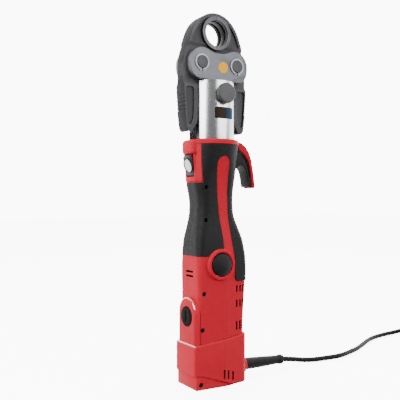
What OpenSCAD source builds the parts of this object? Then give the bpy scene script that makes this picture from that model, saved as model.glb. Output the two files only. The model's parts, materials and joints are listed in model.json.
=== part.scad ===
// Mains press tool for pipe fittings with a two-lever press jaw.
// Millimetres, +Z up, front is -Y. The origin is the middle of the foot on the tool axis.

/* [Housing] */
// Wall of the half shells
wall = 2.2; // [1.8:0.1:2.6]
// Thickness of the grip skin
skin = 1.2; // [0.8:0.1:1.6]
// Height of the foot sleeve
foot_h = 59; // [57:0.5:60]
// Width of the foot from left to right
foot_w = 85; // [81:0.5:86]
// Depth of the foot from front to back
foot_d = 58; // [57:0.5:60]
// Diameter of the housing screws
screw_d = 3; // [2.5:0.1:3.5]

/* [Controls] */
// Diameter of the round return button
button_d = 30.4; // [28:0.2:31]
// Stroke of the return button
button_travel = 2.5; // [1.5:0.1:2.8]
// Width of the start lever
lever_w = 19; // [16:0.5:20]
// Diameter of the brush caps
cap_d = 27; // [24:0.5:28]

/* [Jaw holder] */
// Radius of the fork
fork_r = 31; // [30.5:0.1:31.2]
// Width of the fork slot
slot_w = 25; // [24.6:0.1:25.4]
// Height of the fork top above the floor
fork_top = 413; // [411:0.5:413]
// Diameter of the retaining bolt
bolt_d = 14; // [12:0.5:15]
// Diameter of the bolt knob
knob_d = 27.5; // [24:0.5:30]

/* [Jaw] */
// Radius of the press bore
bore_r = 18; // [15:0.5:19]
// Thickness of the jaw arms
arm_t = 22; // [21:0.2:24]
// Diameter of the jaw pins
pin_d = 17.5; // [15:0.5:18]
// Outer face of the side plates from the middle
plate_y = 20; // [18.5:0.1:20.2]
// Depth of the pockets in the levers
pocket_d = 2.6; // [2:0.2:3.4]

/* [Drive] */
// Radius of the press rollers
roller_r = 11; // [10:0.1:11]
// Diameter of the piston rod
rod_d = 18; // [16:0.2:18.4]
// Bore radius of the cylinder
cyl_bore = 13.5; // [13:0.1:14]
// Tooth module of the planet gear
gear_m = 0.8; // [0.7:0.02:0.82]
// Radius of the stator
stator_r = 21; // [20:0.2:21]

/* [Cord] */
// Diameter of the cord
cord_d = 7.5; // [6.5:0.1:7.6]
// Length of the bend sleeve
sleeve_l = 68; // [60:1:70]
// Length of the plug pins
plug_pin_l = 19; // [17:0.5:20]

/* [Hidden] */
$fn = 64;

// clearances
fit = 0.06;
gap = 0.3;
e = 0.02;

// levels along the tool axis
shell_z0 = foot_h + 0.4;
shell_z1 = 327;
collar_z = 334;
bolt_z = 395;
pin_x = 28.3;
pin_z = 436.4;
bore_z = 480;
roller_z = 374;
roller_x = roller_r + 0.5;
cap_z = 95;
button_z = 165;
button_x = -3;
valve_z = 176;
pump_z = 189;

// housing outline by height: left, right, half depth, corner radii and how far the front bows out
left_at = [[0, 35.2], [165, 35.2], [176, 34.6], [198, 34], [211, 31.6], [230, 28.4], [245, 27.4], [259, 28.8],
  [272, 32], [290, 33.4], [305, 33.8], [318, 34.4], [330, 35]];
right_at = [[0, 37], [60, 37], [90, 37.8], [140, 41], [165, 41.4], [176, 41], [198, 37.8], [211, 33.2], [230, 26.2],
  [245, 24.8], [259, 24.6], [272, 26.4], [290, 29.4], [305, 31], [318, 33.5], [330, 35]];
half_at = [[0, 23.6], [110, 24], [165, 24.2], [176, 24.2], [198, 23.5], [211, 22.6], [230, 20.8], [245, 20.8], [259, 21],
  [272, 22.2], [290, 25.5], [305, 29.5], [318, 32.6], [330, 34.8]];
rad_at = [[0, 4.5], [150, 4.5], [176, 6.5], [198, 9], [211, 11], [230, 12.5], [259, 12.5], [272, 14], [290, 19],
  [305, 25], [318, 30], [330, 33]];
bow_at = [[0, 4], [140, 4], [165, 3.6], [176, 3], [198, 1.8], [211, 0.8], [230, 0], [330, 0]];
bow_x = 5;
function soft(t, z) = (lookup(z - 4, t) + 2 * lookup(z, t) + lookup(z + 4, t)) / 4;

// front half of the section, left to right, moved in by d
function half_ring(z, d) =
  let (l = soft(left_at, z) - d, r = soft(right_at, z) - d, h = soft(half_at, z) - d,
    c = min(soft(rad_at, z), h - 1) - min(d, 3), b = soft(bow_at, z), m = min(bow_x, r - c - 0.6))
  let (pts = concat([[-l, 0], [-l, -(h - c) * 0.6]],
      [for (a = [0:22.5:90]) [-l + c - c * cos(a), -(h - c) - c * sin(a)]],
      [[(m - l + c) / 2, -h], [m, -h], [(m + r - c) / 2, -h]],
      [for (a = [0:22.5:90]) [r - c + c * sin(a), -(h - c) - c * cos(a)]],
      [[r, -(h - c) * 0.6], [r, 0]]))
  [for (p = pts) [p[0], p[1] - b * (p[0] < bow_x ? (p[0] + l) / (bow_x + l) : (r - p[0]) / (r - bow_x)) * (-p[1] / h)]];

// closed skin between two offsets of the section, over a list of levels
module half_skin(levels, outer, inner) {
  rings = [for (z = levels) concat([for (p = half_ring(z, outer)) [p[0], p[1], z]],
    [for (i = [16:-1:0]) let (p = half_ring(z, inner)[i]) [p[0], p[1], z]])];
  n = 34;
  k = len(levels);
  pts = [for (r = rings) each r];
  sides = [for (j = [0:k - 2], i = [0:n - 1]) let (a = j * n + i, b = j * n + (i + 1) % n)
    each [[a, a + n, b], [b, a + n, b + n]]];
  low = [for (i = [0:15]) each [[i, i + 1, 33 - i], [i + 1, 32 - i, 33 - i]]];
  o = (k - 1) * n;
  high = [for (i = [0:15]) each [[o + i, o + 33 - i, o + i + 1], [o + i + 1, o + 33 - i, o + 32 - i]]];
  polyhedron(pts, concat(sides, low, high), convexity = 8);
}

module along_y(y0, y1) { translate([0, y1, 0]) rotate([90, 0, 0]) linear_extrude(y1 - y0) children(); }
module along_x(x0, x1) { translate([x0, 0, 0]) rotate([90, 0, 90]) linear_extrude(x1 - x0) children(); }
module rod_y(x, z, r, y0, y1) { translate([x, y1, z]) rotate([90, 0, 0]) cylinder(r = r, h = y1 - y0); }
module rod_x(y, z, r, x0, x1) { translate([x0, y, z]) rotate([0, 90, 0]) cylinder(r = r, h = x1 - x0); }
module ring(ri, ro, z0, z1) {
  translate([0, 0, z0]) difference() {
    cylinder(r = ro, h = z1 - z0);
    translate([0, 0, -1]) cylinder(r = ri, h = z1 - z0 + 2);
  }
}
module slab(x0, x1, y0, y1, z0, z1) { translate([x0, y0, z0]) cube([x1 - x0, y1 - y0, z1 - z0]); }

// tube swept along points, with flat ends
function unit(v) = v / norm(v);
module tube(path, r, sides) {
  k = len(path);
  tang = [for (i = [0:k - 1]) unit(path[min(i + 1, k - 1)] - path[max(i - 1, 0)])];
  up = [0, 0, 1];
  pts = [for (i = [0:k - 1]) let (s = unit(cross(tang[i], up)), q = cross(s, tang[i]))
    for (j = [0:sides - 1]) path[i] + r * (cos(360 * j / sides) * s + sin(360 * j / sides) * q)];
  faces = concat([[for (j = [0:sides - 1]) j]], [[for (j = [sides - 1:-1:0]) (k - 1) * sides + j]],
    [for (i = [0:k - 2], j = [0:sides - 1]) let (a = i * sides + j, b = i * sides + (j + 1) % sides)
      each [[a, a + sides, b], [b, a + sides, b + sides]]]);
  polyhedron(pts, faces, convexity = 10);
}

// housing shells
shell_levels = [shell_z0, 75, 95, 115, 135, 141, 152, 165, 176, 185, 194, 203, 212, 221, 231, 245, 256, 265, 274, 284, 295,
  306, 316, shell_z1];
// each screw: across, height, the seat of its head and the end of its post in both shells
screw_at = [[-22.4, 269, -14.5, -18], [-22.4, 225, -14.5, -17.2], [-28, 127, -20.6, -22.8], [-30, 79, -20.2, -22.2]];
post_r = screw_d / 2 + 1.9;
rib_at = [[110, stator_r], [130, stator_r], [156, 20.5], [198, 20.4], [240, 18], [285, 18]];

module rib(z, r) {
  translate([0, 0, z]) linear_extrude(2) difference() {
    polygon(half_ring(z + 1, wall * 0.6));
    circle(r = r + 0.05);
    translate([-60, -gap]) square([120, 10]);
  }
}
boss_x = 41;
module brush_boss_solid() {
  along_x(-boss_x, -30.5) {
    translate([-18, shell_z0]) square([36, 102 - shell_z0]);
    translate([0, 102]) circle(r = 18);
  }
}
module vent_cuts() {
  for (x = [24.2, 30.2, 35.2]) {
    for (v = [[126, 135], [105, 115], [74, 86]]) slab(x - 1.3, x + 1.3, -40, -13, v[0], v[1]);
  }
  for (z = [148, 154]) slab(-45, -25, -9, 9, z, z + 2.6);
}
module shell_cuts() {
  translate([0, 0, 206]) cylinder(r = 18.15, h = 99.5);
  rod_x(0, cap_z, cap_d / 2 + gap, -50, -28);
  rod_x(0, cap_z, cap_d / 2 + gap, 34, 60);
  slab(-60, -22, -13.5, 13.5, 276.5, 330);
  foot_slope(gap + 0.1, 40);
  vent_cuts();
}
module shell_half() {
  difference() {
    union() {
      half_skin(shell_levels, 0, wall);
      for (r = rib_at) rib(r[0], r[1]);
      for (s = screw_at) rod_y(s[0], s[1], post_r, s[3], -0.15);
      intersection() {
        brush_boss_solid();
        slab(-60, 0, -40, -e, 0, 200);
      }
    }
    shell_cuts();
  }
}
module front_shell() {
  color("firebrick") difference() {
    union() {
      shell_half();
      rod_y(button_x, button_z, button_d / 2 + 5.6, -31, -24);
    }
    rod_y(button_x, button_z, button_d / 2 + gap, -40, -20);
    for (s = screw_at) {
      rod_y(s[0], s[1], screw_d / 2 + fit, -40, 1);
      rod_y(s[0], s[1], screw_d, -40, s[2]);
    }
  }
}
module rear_shell() {
  color("firebrick") mirror([0, 1, 0]) difference() {
    shell_half();
    for (s = screw_at) rod_y(s[0], s[1], screw_d / 2 + fit, -11.6, 1);
  }
}

// grip skins
skin_levels = [141, 152, 165, 176, 185, 194, 203, 212, 221, 231, 245, 256, 265, 274, 284, 295, 306, 316, shell_z1];
strip_line = [[-10, 300], [-8.6, 306.4], [-5.4, 310.2], [0.3, 311.5], [5.7, 310], [8.8, 305.4], [10, 300], [10.6, 262],
  [12.4, 225], [16, 196], [20, 177.4], [21, 166.2], [21, 130], [-60, 130], [-60, 176.7], [2.7, 176.7], [2, 188],
  [1, 205], [-2, 225], [-5.8, 262]];
module skin_half() {
  difference() {
    half_skin(skin_levels, -skin - gap, -gap);
    along_y(-60, 0.1) polygon(strip_line);
    slab(-60, -20, -bezel_w - 0.6, 1, 275.4, 330);
    slab(-40, 0, -e, 20, 100, 340);
  }
}
module front_grip() {
  color("dimgray") difference() {
    skin_half();
    for (s = [screw_at[0], screw_at[1]]) rod_y(s[0], s[1], screw_d, -40, -1);
    rod_y(button_x, button_z, button_d / 2 + 6.2, -40, -18);
  }
}
module rear_grip() { color("dimgray") mirror([0, 1, 0]) skin_half(); }

module collar_ring() {
  color("firebrick") rotate_extrude() polygon([[fork_r + 0.4, shell_z1 + 0.3], [37.3, shell_z1 + 0.3], [37.3, collar_z - 2],
    [36.4, collar_z - 0.6], [35, collar_z], [fork_r + 0.8, collar_z], [fork_r + 0.4, collar_z - 0.4]]);
}

// start switch
lever_x = -30;
lever_z = 287;
bezel_w = 20.5;
bezel_levels = [277, 284, 295, 306, 316, shell_z1];
module switch_bezel() {
  color("firebrick") union() {
    bezel_frame();
    rod_y(lever_x - 1, lever_z, 1, -12, 12);
  }
}
module bezel_frame() {
  difference() {
    union() {
      for (s = [0, 1]) mirror([0, s, 0]) intersection() {
        half_skin(bezel_levels, -2, -gap);
        slab(-60, -20, -bezel_w, 0, 277, shell_z1);
      }
      along_y(-13.2, 13.2) polygon([[-27.5, 277], [-34, 277], [-36, 313], [-36, 314], [-27.5, 314]]);
      along_y(-15, 15) polygon([[-35.4, 313.4], [-38.6, 314.4], [-39.2, 330], [-38.6, 332.6], [-37.7, 333.6],
        [-37.7, shell_z1 - 0.2], [-35.4, shell_z1 - 0.2]]);
    }
    along_y(-lever_w / 2 - gap, lever_w / 2 + gap) polygon([[-20, 283.5], [-50, 283.5], [-50, 313.4], [-20, 313.4]]);
  }
}
module start_lever() {
  color("dimgray") difference() {
    union() {
      along_y(-lever_w / 2, lever_w / 2) polygon([[-29, 284.4], [-33.4, 284.4], [-35, 288], [-39.4, 303], [-40.6, 309],
        [-39.6, 312], [-37, 312.6], [-33, 308], [-31.5, 300], [-29, 290]]);
    }
    translate([-37.2, 0, 298.75]) rotate([0, -106, 0]) cylinder(r = inlay_r + 0.15, h = 3);
    rod_y(lever_x - 1, lever_z, 1.1, -30, 30);
  }
}
inlay_r = 8.8;
module lever_inlay() {
  color("gainsboro") translate([-37.2, 0, 298.75]) rotate([0, -106, 0]) translate([0, 0, 0.05]) cylinder(r = inlay_r, h = 1.3);
}
module start_switch() {
  color("dimgray") union() {
    slab(-26.6, -18.4, -8, 8, 288, 303);
    slab(-28, -26.7 + e + 0.1, -2, 2, 297, 301);
  }
}

// return button and its valve pin
module return_button() {
  color("dimgray") translate([button_x, 0, button_z]) rotate([90, 0, 0]) rotate_extrude()
    polygon([[0, 23.4], [button_d / 2, 23.4], [button_d / 2, 30.2], [button_d / 2 - 1, 31.6], [button_d / 2 - 4.7, 33.2],
      [5.5, 34.3], [0, 34.8]]);
}
module valve_pin() { color("goldenrod") rod_y(button_x, valve_z, 2.6, -23.4, -13); }

// brush caps
module brush_cap_one(face) {
  difference() {
    union() {
      rod_x(0, cap_z, cap_d / 2, -face - 0.3, 3.5 - face);
      rod_x(0, cap_z, 8, 3.4 - face, -33.2);
    }
    slab(-face - 4, -face + 0.9, -1.2, 1.2, cap_z - 7.8, cap_z + 7.8);
  }
}
module brush_caps() {
  color("black") {
    brush_cap_one(boss_x);
    mirror([1, 0, 0]) brush_cap_one(40.6);
  }
}

// foot
foot_l = foot_w / 2 + 0.5;
foot_r = foot_w / 2 - 0.5;
foot_y = foot_d / 2;
function foot_line(d) = [[-foot_l + d, -21.5 + d * 0.5], [4, -foot_y + d], [foot_r - d, -20 + d * 0.5],
  [foot_r - d, 20 - d * 0.5], [4, foot_y - d], [-foot_l + d, 21.5 - d * 0.5]];
cord_z = 17;
foot_rise = 0.115;
// all below the joint of shell and foot, which climbs to the right
module foot_slope(lift, down) {
  along_y(-60, 60) polygon([[-70, foot_h + lift - down], [-70, foot_h + lift], [-36, foot_h + lift],
    [60, foot_h + lift + 96 * foot_rise], [60, foot_h + lift - down]]);
}
module foot_wedge(grow) {
  along_y(-60, 60) polygon([[-70, -5], [-70, 19 + grow], [-33, 18.4 + grow], [20, grow], [60, grow], [60, -5]]);
}
foot_screw_at = [[11 - foot_l, -17], [11 - foot_l, 17], [foot_r - 10, -16], [foot_r - 10, 16]];
module foot_sleeve() {
  color("firebrick") difference() {
    union() {
      intersection() {
        difference() {
          linear_extrude(foot_h + 14) polygon(foot_line(0));
          translate([0, 0, 3]) linear_extrude(foot_h - 6) polygon(foot_line(3));
          translate([0, 0, foot_h - 4]) linear_extrude(20) polygon([[9 - foot_l, -17.5], [4, 6 - foot_y], [foot_r - 6, -16.5],
            [foot_r - 6, 16.5], [4, foot_y - 6], [9 - foot_l, 17.5]]);
          translate([0, 0, -1]) linear_extrude(5) polygon(foot_line(3));
        }
        foot_slope(0, foot_h + 1);
      }
      translate([foot_r - 1, 0, cord_z]) rotate([0, 90, 0]) rotate_extrude() polygon([[0, 0], [14, 0], [10.6, 13], [0, 13]]);
    }
    foot_wedge(0);
    rod_x(0, cord_z, 6.6, foot_r - 10, foot_r + 30);
    for (v = [[1.8, 23], [8.4, 21.5], [16.5, 19]]) slab(v[0] - 1.3, v[0] + 1.3, -40, -20, v[1] - 12, v[1]);
  }
}
module foot_base() {
  color("firebrick") difference() {
    union() {
      linear_extrude(3) polygon(foot_line(3.4));
      intersection() {
        linear_extrude(30) difference() {
          polygon(foot_line(2));
          polygon(foot_line(4.6));
        }
        foot_wedge(-gap);
      }
    }
    rod_x(0, cord_z, 15, foot_r - 10, foot_r + 30);
    rod_y(-33, 7, 2.2, -40, -15);
    for (s = foot_screw_at) translate([s[0], s[1], -1]) cylinder(r = screw_d / 2 + fit, h = 6);
  }
}
module screw_one(l) {
  union() {
    cylinder(d = screw_d, h = l);
    difference() {
      cylinder(d = screw_d * 1.9, h = 2.4);
      translate([0, 0, -1]) cylinder(d = screw_d * 0.9, h = 2.4, $fn = 6);
    }
  }
}
module housing_screws() {
  color("silver") for (s = screw_at) translate([s[0], s[2] - 2.4, s[1]]) rotate([-90, 0, 0]) screw_one(13.4 - s[2]);
}

// hook
hook_w = 22;
module hook_frame() {
  color("firebrick") along_y(-hook_w / 2, hook_w / 2) polygon([[37.7, 333.6], [44, 332], [51, 327], [57, 319], [60.6, 309],
    [63, 298], [65.2, 285], [67, 272], [66, 269], [62.6, 268.6], [61.6, 272], [60, 285], [57.6, 298], [54.8, 307],
    [50, 314], [44, 319], [38.6, 322], [37.7, 327]]);
}
module hook_lining() {
  color("dimgray") difference() {
    along_y(-hook_w / 2 + 1, hook_w / 2 - 1) polygon([[38.4, 321.8], [43.9, 318.8], [49.8, 313.8], [54.5, 306.9], [57.3, 298],
      [59.7, 285], [61.3, 272], [60.6, 270.4], [57.4, 270.4], [56.4, 273], [54.6, 284], [52, 293], [48, 298.6],
      [43, 301], [38.6, 299], [35.4, 296], [33.6, 296.4], [34.4, 306], [36.6, 320]]);
    for (s = [-1, 1]) translate([0, s * hook_w / 2, 0]) along_y(-2.2, 2.2) polygon([[44, 314.5], [50, 308], [53.6, 297],
      [56.4, 284], [58.4, 284], [55.6, 299], [51.4, 309.4], [45, 316]]);
  }
}

// jaw
lever_line = [[0.25, 508], [5, 507.7], [10, 506.6], [15, 504.8], [20, 502], [24.6, 498.4], [29, 494], [32.6, 489.2],
  [35.6, 484], [38.2, 478], [40.6, 471.4], [42.8, 465], [45, 458.6], [47.2, 452.4], [49, 446], [50, 439], [50.4, 430],
  [50.3, 410], [49.8, 393], [48.4, 368], [46, 349], [44, 345.4],
  [41, 344.3], [37.6, 345.2], [35.6, 347.6], [30, 358], [23.6, 378.4], [22.6, 388], [19, 401], [15, 416], [12.4, 428],
  [11.4, 437], [8.6, 445.5], [4, 452.6], [0.25, 456.5]];
rim_line = [[4, 502.6], [10, 501.4], [16, 498.8], [22, 494.4], [27.4, 488.6], [31.6, 482], [34.6, 475.4], [37.4, 467.6],
  [38.4, 464.6], [4, 464.6]];
arm_pocket = [[38, 404], [45.5, 404], [47.2, 402], [47.4, 392], [46, 369], [44.4, 355.5], [42.5, 353], [40, 354], [37, 361],
  [35.6, 370], [35.4, 400], [36.4, 403]];
hub_y = 7.8;
bore_rim = 2.6;
ring_r = bore_r + 5;
module jaw_lever() {
  difference() {
    union() {
      along_y(-arm_t / 2, arm_t / 2) polygon(lever_line);
      intersection() {
        rod_y(0, bore_z, ring_r, -arm_t / 2 - bore_rim, arm_t / 2 + bore_rim);
        slab(0.25, 60, -20, 20, 400, 520);
      }
    }
    rod_y(0, bore_z, bore_r, -20, 20);
    for (s = [-6, 6]) rod_y(0, bore_z, bore_r + 1.6, s - 2, s + 2);
    rod_y(pin_x, pin_z, pin_d / 2 + fit, -20, 20);
    for (s = [-1, 1]) {
      difference() {
        union() {
          along_y(s > 0 ? arm_t / 2 - pocket_d : -20, s > 0 ? 20 : -arm_t / 2 + pocket_d) polygon(rim_line);
          along_x(-5, 60) polygon([[s * 30, 464], [s * arm_t / 2, 464], [s * hub_y, 459.6], [s * hub_y, 411],
            [s * arm_t / 2, 405], [s * 30, 405]]);
        }
        rod_y(0, bore_z, ring_r, -30, 30);
      }
      along_y(s > 0 ? arm_t / 2 - pocket_d : -20, s > 0 ? 20 : -arm_t / 2 + pocket_d) polygon(arm_pocket);
    }
    for (i = [0:4]) rod_y(50.9 - i * 0.4, 393 - i * 5, 1.5, -20, 20);
  }
}
module jaw_lever_right() { color("dimgray") jaw_lever(); }
module jaw_lever_left() { color("dimgray") mirror([1, 0, 0]) jaw_lever(); }

plate_half = [[8, 451.6], [14, 453.4], [20, 455.8], [26, 456.8], [32, 456], [38, 453], [43, 448], [46, 441], [46.2, 433],
  [45, 425], [41.5, 418.6], [36, 415], [30, 414]];
leg_x = 16;
leg_z = 378;
function mirror_x(p) = [for (i = [len(p) - 1:-1:0]) [-p[i][0], p[i][1]]];
module side_plate() {
  difference() {
    union() {
      along_y(hub_y + gap, plate_y) polygon(concat([[0, 451]], plate_half, [[0, 414]], mirror_x(plate_half)));
      along_y(slot_w / 2 + gap, plate_y) polygon([[-leg_x, 420], [leg_x, 420], [leg_x, leg_z + 3], [leg_x - 3, leg_z],
        [3 - leg_x, leg_z], [-leg_x, leg_z + 3]]);
    }
    for (s = [-1, 1]) rod_y(s * pin_x, pin_z, pin_d / 2 + fit, 0, 40);
    rod_y(0, bolt_z, bolt_d / 2 + 0.1, 0, 40);
  }
}
module rear_side_plate() { color("silver") side_plate(); }
module front_side_plate() { color("silver") mirror([0, 1, 0]) side_plate(); }
module jaw_pins() {
  color("silver") for (s = [-1, 1]) translate([s * pin_x, 0, pin_z]) rotate([90, 0, 0]) rotate_extrude()
    polygon([[0, -plate_y - 2.6], [pin_d / 2 - 0.6, -plate_y - 2.6], [pin_d / 2, -plate_y - 2], [pin_d / 2, -plate_y - 1.4],
      [pin_d / 2 - 0.9, -plate_y - 1.4], [pin_d / 2 - 0.9, -plate_y - 0.1], [pin_d / 2, -plate_y - 0.1],
      [pin_d / 2, plate_y + 0.1], [pin_d / 2 - 0.9, plate_y + 0.1], [pin_d / 2 - 0.9, plate_y + 1.4],
      [pin_d / 2, plate_y + 1.4], [pin_d / 2, plate_y + 2], [pin_d / 2 - 0.6, plate_y + 2.6], [0, plate_y + 2.6]]);
}
module retaining_ring() {
  difference() {
    union() {
      rod_y(0, 0, pin_d / 2 + 2, plate_y + 0.15, plate_y + 1.35);
      for (s = [-1, 1]) rod_y(s * 2.6, -pin_d / 2 - 1.2, 2.2, plate_y + 0.15, plate_y + 1.35);
    }
    rod_y(0, 0, pin_d / 2 - 0.8, 0, 60);
    slab(-0.9, 0.9, 0, 60, -20, 0);
    for (s = [-1, 1]) rod_y(s * 2.6, -pin_d / 2 - 1.2, 0.9, 0, 60);
  }
}
module retaining_rings() {
  color("silver") for (s = [-1, 1], t = [0, 1]) translate([s * pin_x, 0, pin_z]) mirror([0, t, 0]) retaining_ring();
}

// fork and bolt
neck_r = 24;
neck_z = 306;
slot_z = 314;
module jaw_fork() {
  color("silver") difference() {
    union() {
      translate([0, 0, shell_z1 + 0.6]) cylinder(r = fork_r, h = fork_top - shell_z1 - 0.6);
      translate([0, 0, neck_z]) cylinder(r = neck_r, h = 40);
    }
    slab(-50, 50, -slot_w / 2, slot_w / 2, slot_z, 500);
    slab(-leg_x - 0.4, leg_x + 0.4, -plate_y - gap, plate_y + gap, leg_z - 1, 500);
    rod_y(0, bolt_z, bolt_d / 2 + fit, -60, 60);
    translate([0, 0, 300]) cylinder(d = rod_d + 1, h = 30);
    ring(neck_r - 1.6, neck_r + 5, 310.9, 313.1);
  }
}
module head_clip() { color("dimgray") difference() {
    ring(neck_r - 1.5, neck_r + 3.4, 311, 313);
    slab(-4, 4, -60, 0, 300, 320);
  }
}
module head_bearing() { color("goldenrod") ring(neck_r + fit, 30, 319.4, 326.8); }
module retaining_bolt() {
  color("silver") difference() {
    rod_y(0, bolt_z, bolt_d / 2, -fork_r - 3, fork_r - 1);
    difference() {
      rod_y(0, bolt_z, 20, fork_r - 6, fork_r - 4.4);
      rod_y(0, bolt_z, bolt_d / 2 - 0.7, 0, 60);
    }
  }
}
module bolt_knob() {
  color("dimgray") difference() {
    translate([0, -fork_r - 8.2, bolt_z]) rotate([-90, 0, 0]) rotate_extrude()
      polygon([[0, 0], [knob_d / 2 - 1.4, 0], [knob_d / 2, 1.4], [knob_d / 2, 4.6], [knob_d / 2 - 1, 5.6],
        [bolt_d / 2 + 3, 5.6], [bolt_d / 2 + 3, 7.6], [0, 7.6]]);
    rod_y(0, bolt_z, bolt_d / 2 + 0.03, -fork_r - 3, 0);
  }
}

// ram with its rollers
side_y = 8.3;
module roller_carriage() {
  color("dimgray") difference() {
    union() {
      for (s = [-1, 1]) mirror([0, s > 0 ? 1 : 0, 0]) union() {
        slab(-roller_x, roller_x, side_y, slot_w / 2 - gap, roller_z - 16, roller_z + 7.5);
        for (t = [-1, 1]) rod_y(t * roller_x, roller_z, 7.5, side_y, slot_w / 2 - gap);
      }
      slab(-roller_x, roller_x, -slot_w / 2 + gap, slot_w / 2 - gap, roller_z - 16, roller_z - roller_r - 0.5);
    }
    for (t = [-1, 1]) rod_y(t * roller_x, roller_z, 4 + fit, -20, 20);
  }
}
module roller_axles() { color("silver") for (t = [-1, 1]) rod_y(t * roller_x, roller_z, 4, -slot_w / 2 + 0.5, slot_w / 2 - 0.5); }
module press_roller(s) {
  color("silver") difference() {
    rod_y(s * roller_x, roller_z, roller_r, -side_y + gap, side_y - gap);
    rod_y(s * roller_x, roller_z, 4 + fit, -20, 20);
  }
}
module press_roller_left() { press_roller(-1); }
module press_roller_right() { press_roller(1); }

// hydraulic cylinder
cyl_z = 222;
piston_z = 269;
head_z = 297;
module ram_piston() {
  color("silver") difference() {
    union() {
      translate([0, 0, piston_z]) cylinder(r = cyl_bore - fit, h = 12);
      translate([0, 0, piston_z]) cylinder(d = rod_d, h = roller_z - 16 - piston_z);
    }
    ring(cyl_bore - 2.2, cyl_bore + 3, piston_z + 4, piston_z + 7);
  }
}
module piston_seal() { color("dimgray") ring(cyl_bore - 2.1, cyl_bore - 0.05, piston_z + 4.1, piston_z + 6.9); }
spring_r = (cyl_bore + rod_d / 2) / 2;
module return_spring() {
  color("silver") tube([for (i = [0:80]) let (a = i * 22.5) [spring_r * cos(a), spring_r * sin(a),
    piston_z + 13.5 + i / 80 * (head_z - piston_z - 15)]], 0.95, 6);
}
module press_cylinder() {
  color("lightsteelblue") difference() {
    translate([0, 0, cyl_z]) linear_extrude(neck_z - 1 - cyl_z) circle(r = 18);
    translate([0, 0, cyl_z + 6]) linear_extrude(100) circle(r = cyl_bore);
    translate([0, 0, cyl_z - 1]) linear_extrude(10) circle(r = 2);
  }
}
module cylinder_head() { color("goldenrod") ring(rod_d / 2 + fit, cyl_bore - fit, head_z, neck_z - 1); }

// pump
module pump_block() {
  color("silver") difference() {
    union() {
      translate([0, 0, 168]) linear_extrude(37) circle(r = 20.4);
      translate([0, 0, 168]) linear_extrude(cyl_z - 168.05) circle(r = 18);
    }
    translate([0, 0, 160]) linear_extrude(39) circle(r = 8.2);
    translate([0, 0, 190]) linear_extrude(50) circle(r = 2);
    rod_x(0, pump_z, 4 + fit, 0, 30);
    rod_y(button_x, valve_z, 2.6 + fit, -30, -9.6);
  }
}
module pump_plunger() { color("dimgray") rod_x(0, pump_z, 4, 7.8, 16); }
module oil_bladder() {
  color("dimgray") union() {
    slab(22.6, 32.6, -13, 13, 158.5, 184);
    rod_x(0, 180, 3, 20.6, 23);
  }
}

// planet gear
sun_n = 12;
planet_n = 15;
ring_n = 42;
planet_r = gear_m * (sun_n + planet_n) / 2;
press_a = 25;
function inv(a) = tan(a) * 180 / PI - a;
function flank(n, r, t) = let (rp = gear_m * n / 2, rb = rp * cos(press_a))
  t / 2 / rp * 180 / PI + inv(press_a) - inv(acos(min(1, rb / max(r, rb))));
function gear_line(n, add, ded, t) = let (rp = gear_m * n / 2, r0 = rp - ded * gear_m, r1 = rp + add * gear_m,
    rs = [for (k = [0:4]) r0 + (r1 - r0) * k / 4])
  [for (i = [0:n - 1]) each concat([for (r = rs) let (a = 360 * i / n - flank(n, r, t)) r * [cos(a), sin(a)]],
    [for (k = [4:-1:0]) let (r = rs[k], a = 360 * i / n + flank(n, r, t)) r * [cos(a), sin(a)]])];
tooth_t = PI * gear_m / 2;
module planet(k) {
  color("silver") rotate([0, 0, 120 * k]) translate([planet_r, 0, 154.6]) difference() {
    rotate([0, 0, 180 + 180 / planet_n]) linear_extrude(8) polygon(gear_line(planet_n, 0.8, 1.15, tooth_t - 0.2));
    translate([0, 0, -1]) linear_extrude(20) circle(r = 2 + fit);
  }
}
module planet_gear_a() { planet(0); }
module planet_gear_b() { planet(1); }
module planet_gear_c() { planet(2); }
module gear_case() {
  color("silver") union() {
    difference() {
      translate([0, 0, 153.6]) linear_extrude(14) circle(r = 20.5);
      translate([0, 0, 150]) linear_extrude(30) rotate([0, 0, 0])
        polygon(gear_line(ring_n, 1.15, 0.8, tooth_t + 0.2));
    }
    difference() {
      translate([0, 0, 148.4]) linear_extrude(5.3) circle(r = 20.5);
      translate([0, 0, 140]) linear_extrude(30) circle(r = 8);
    }
  }
}
module planet_carrier() {
  color("silver") union() {
    translate([0, 0, 163]) linear_extrude(3.6) circle(r = 14);
    for (k = [0:2]) rotate([0, 0, 120 * k]) translate([planet_r, 0, 154.6]) linear_extrude(8.5) circle(r = 2);
    translate([0, 0, 166]) linear_extrude(30) circle(r = 4);
    translate([1.5, 0, pump_z - 5]) linear_extrude(10) circle(r = 6);
  }
}

// motor
module motor_shaft() {
  color("silver") union() {
    translate([0, 0, bracket_z + 2]) linear_extrude(153 - bracket_z) circle(r = 3);
    translate([0, 0, 154.6]) linear_extrude(8) polygon(gear_line(sun_n, 0.8, 1.15, tooth_t - 0.2));
  }
}
module armature() {
  color("peru") union() {
    ring(3.02, 12, 104.2, 134);
    difference() {
      ring(3.02, 13.2, 106, 132);
      for (k = [0:11]) rotate([0, 0, 30 * k]) slab(12, 15, -0.9, 0.9, 100, 140);
    }
  }
}
module commutator() { color("peru") ring(3.02, 11, 87, 103); }
module cooling_fan() {
  color("dimgray") union() {
    ring(3.02, 18.5, 138, 139.6);
    ring(3.02, 6, 138, 146);
    for (k = [0:8]) rotate([0, 0, 40 * k]) slab(5.6, 18, -0.7, 0.7, 139, 145.6);
  }
}
module motor_stator() { color("gray") ring(13.8, stator_r, 105, 135); }
bracket_z = foot_h + 9.5;
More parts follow.
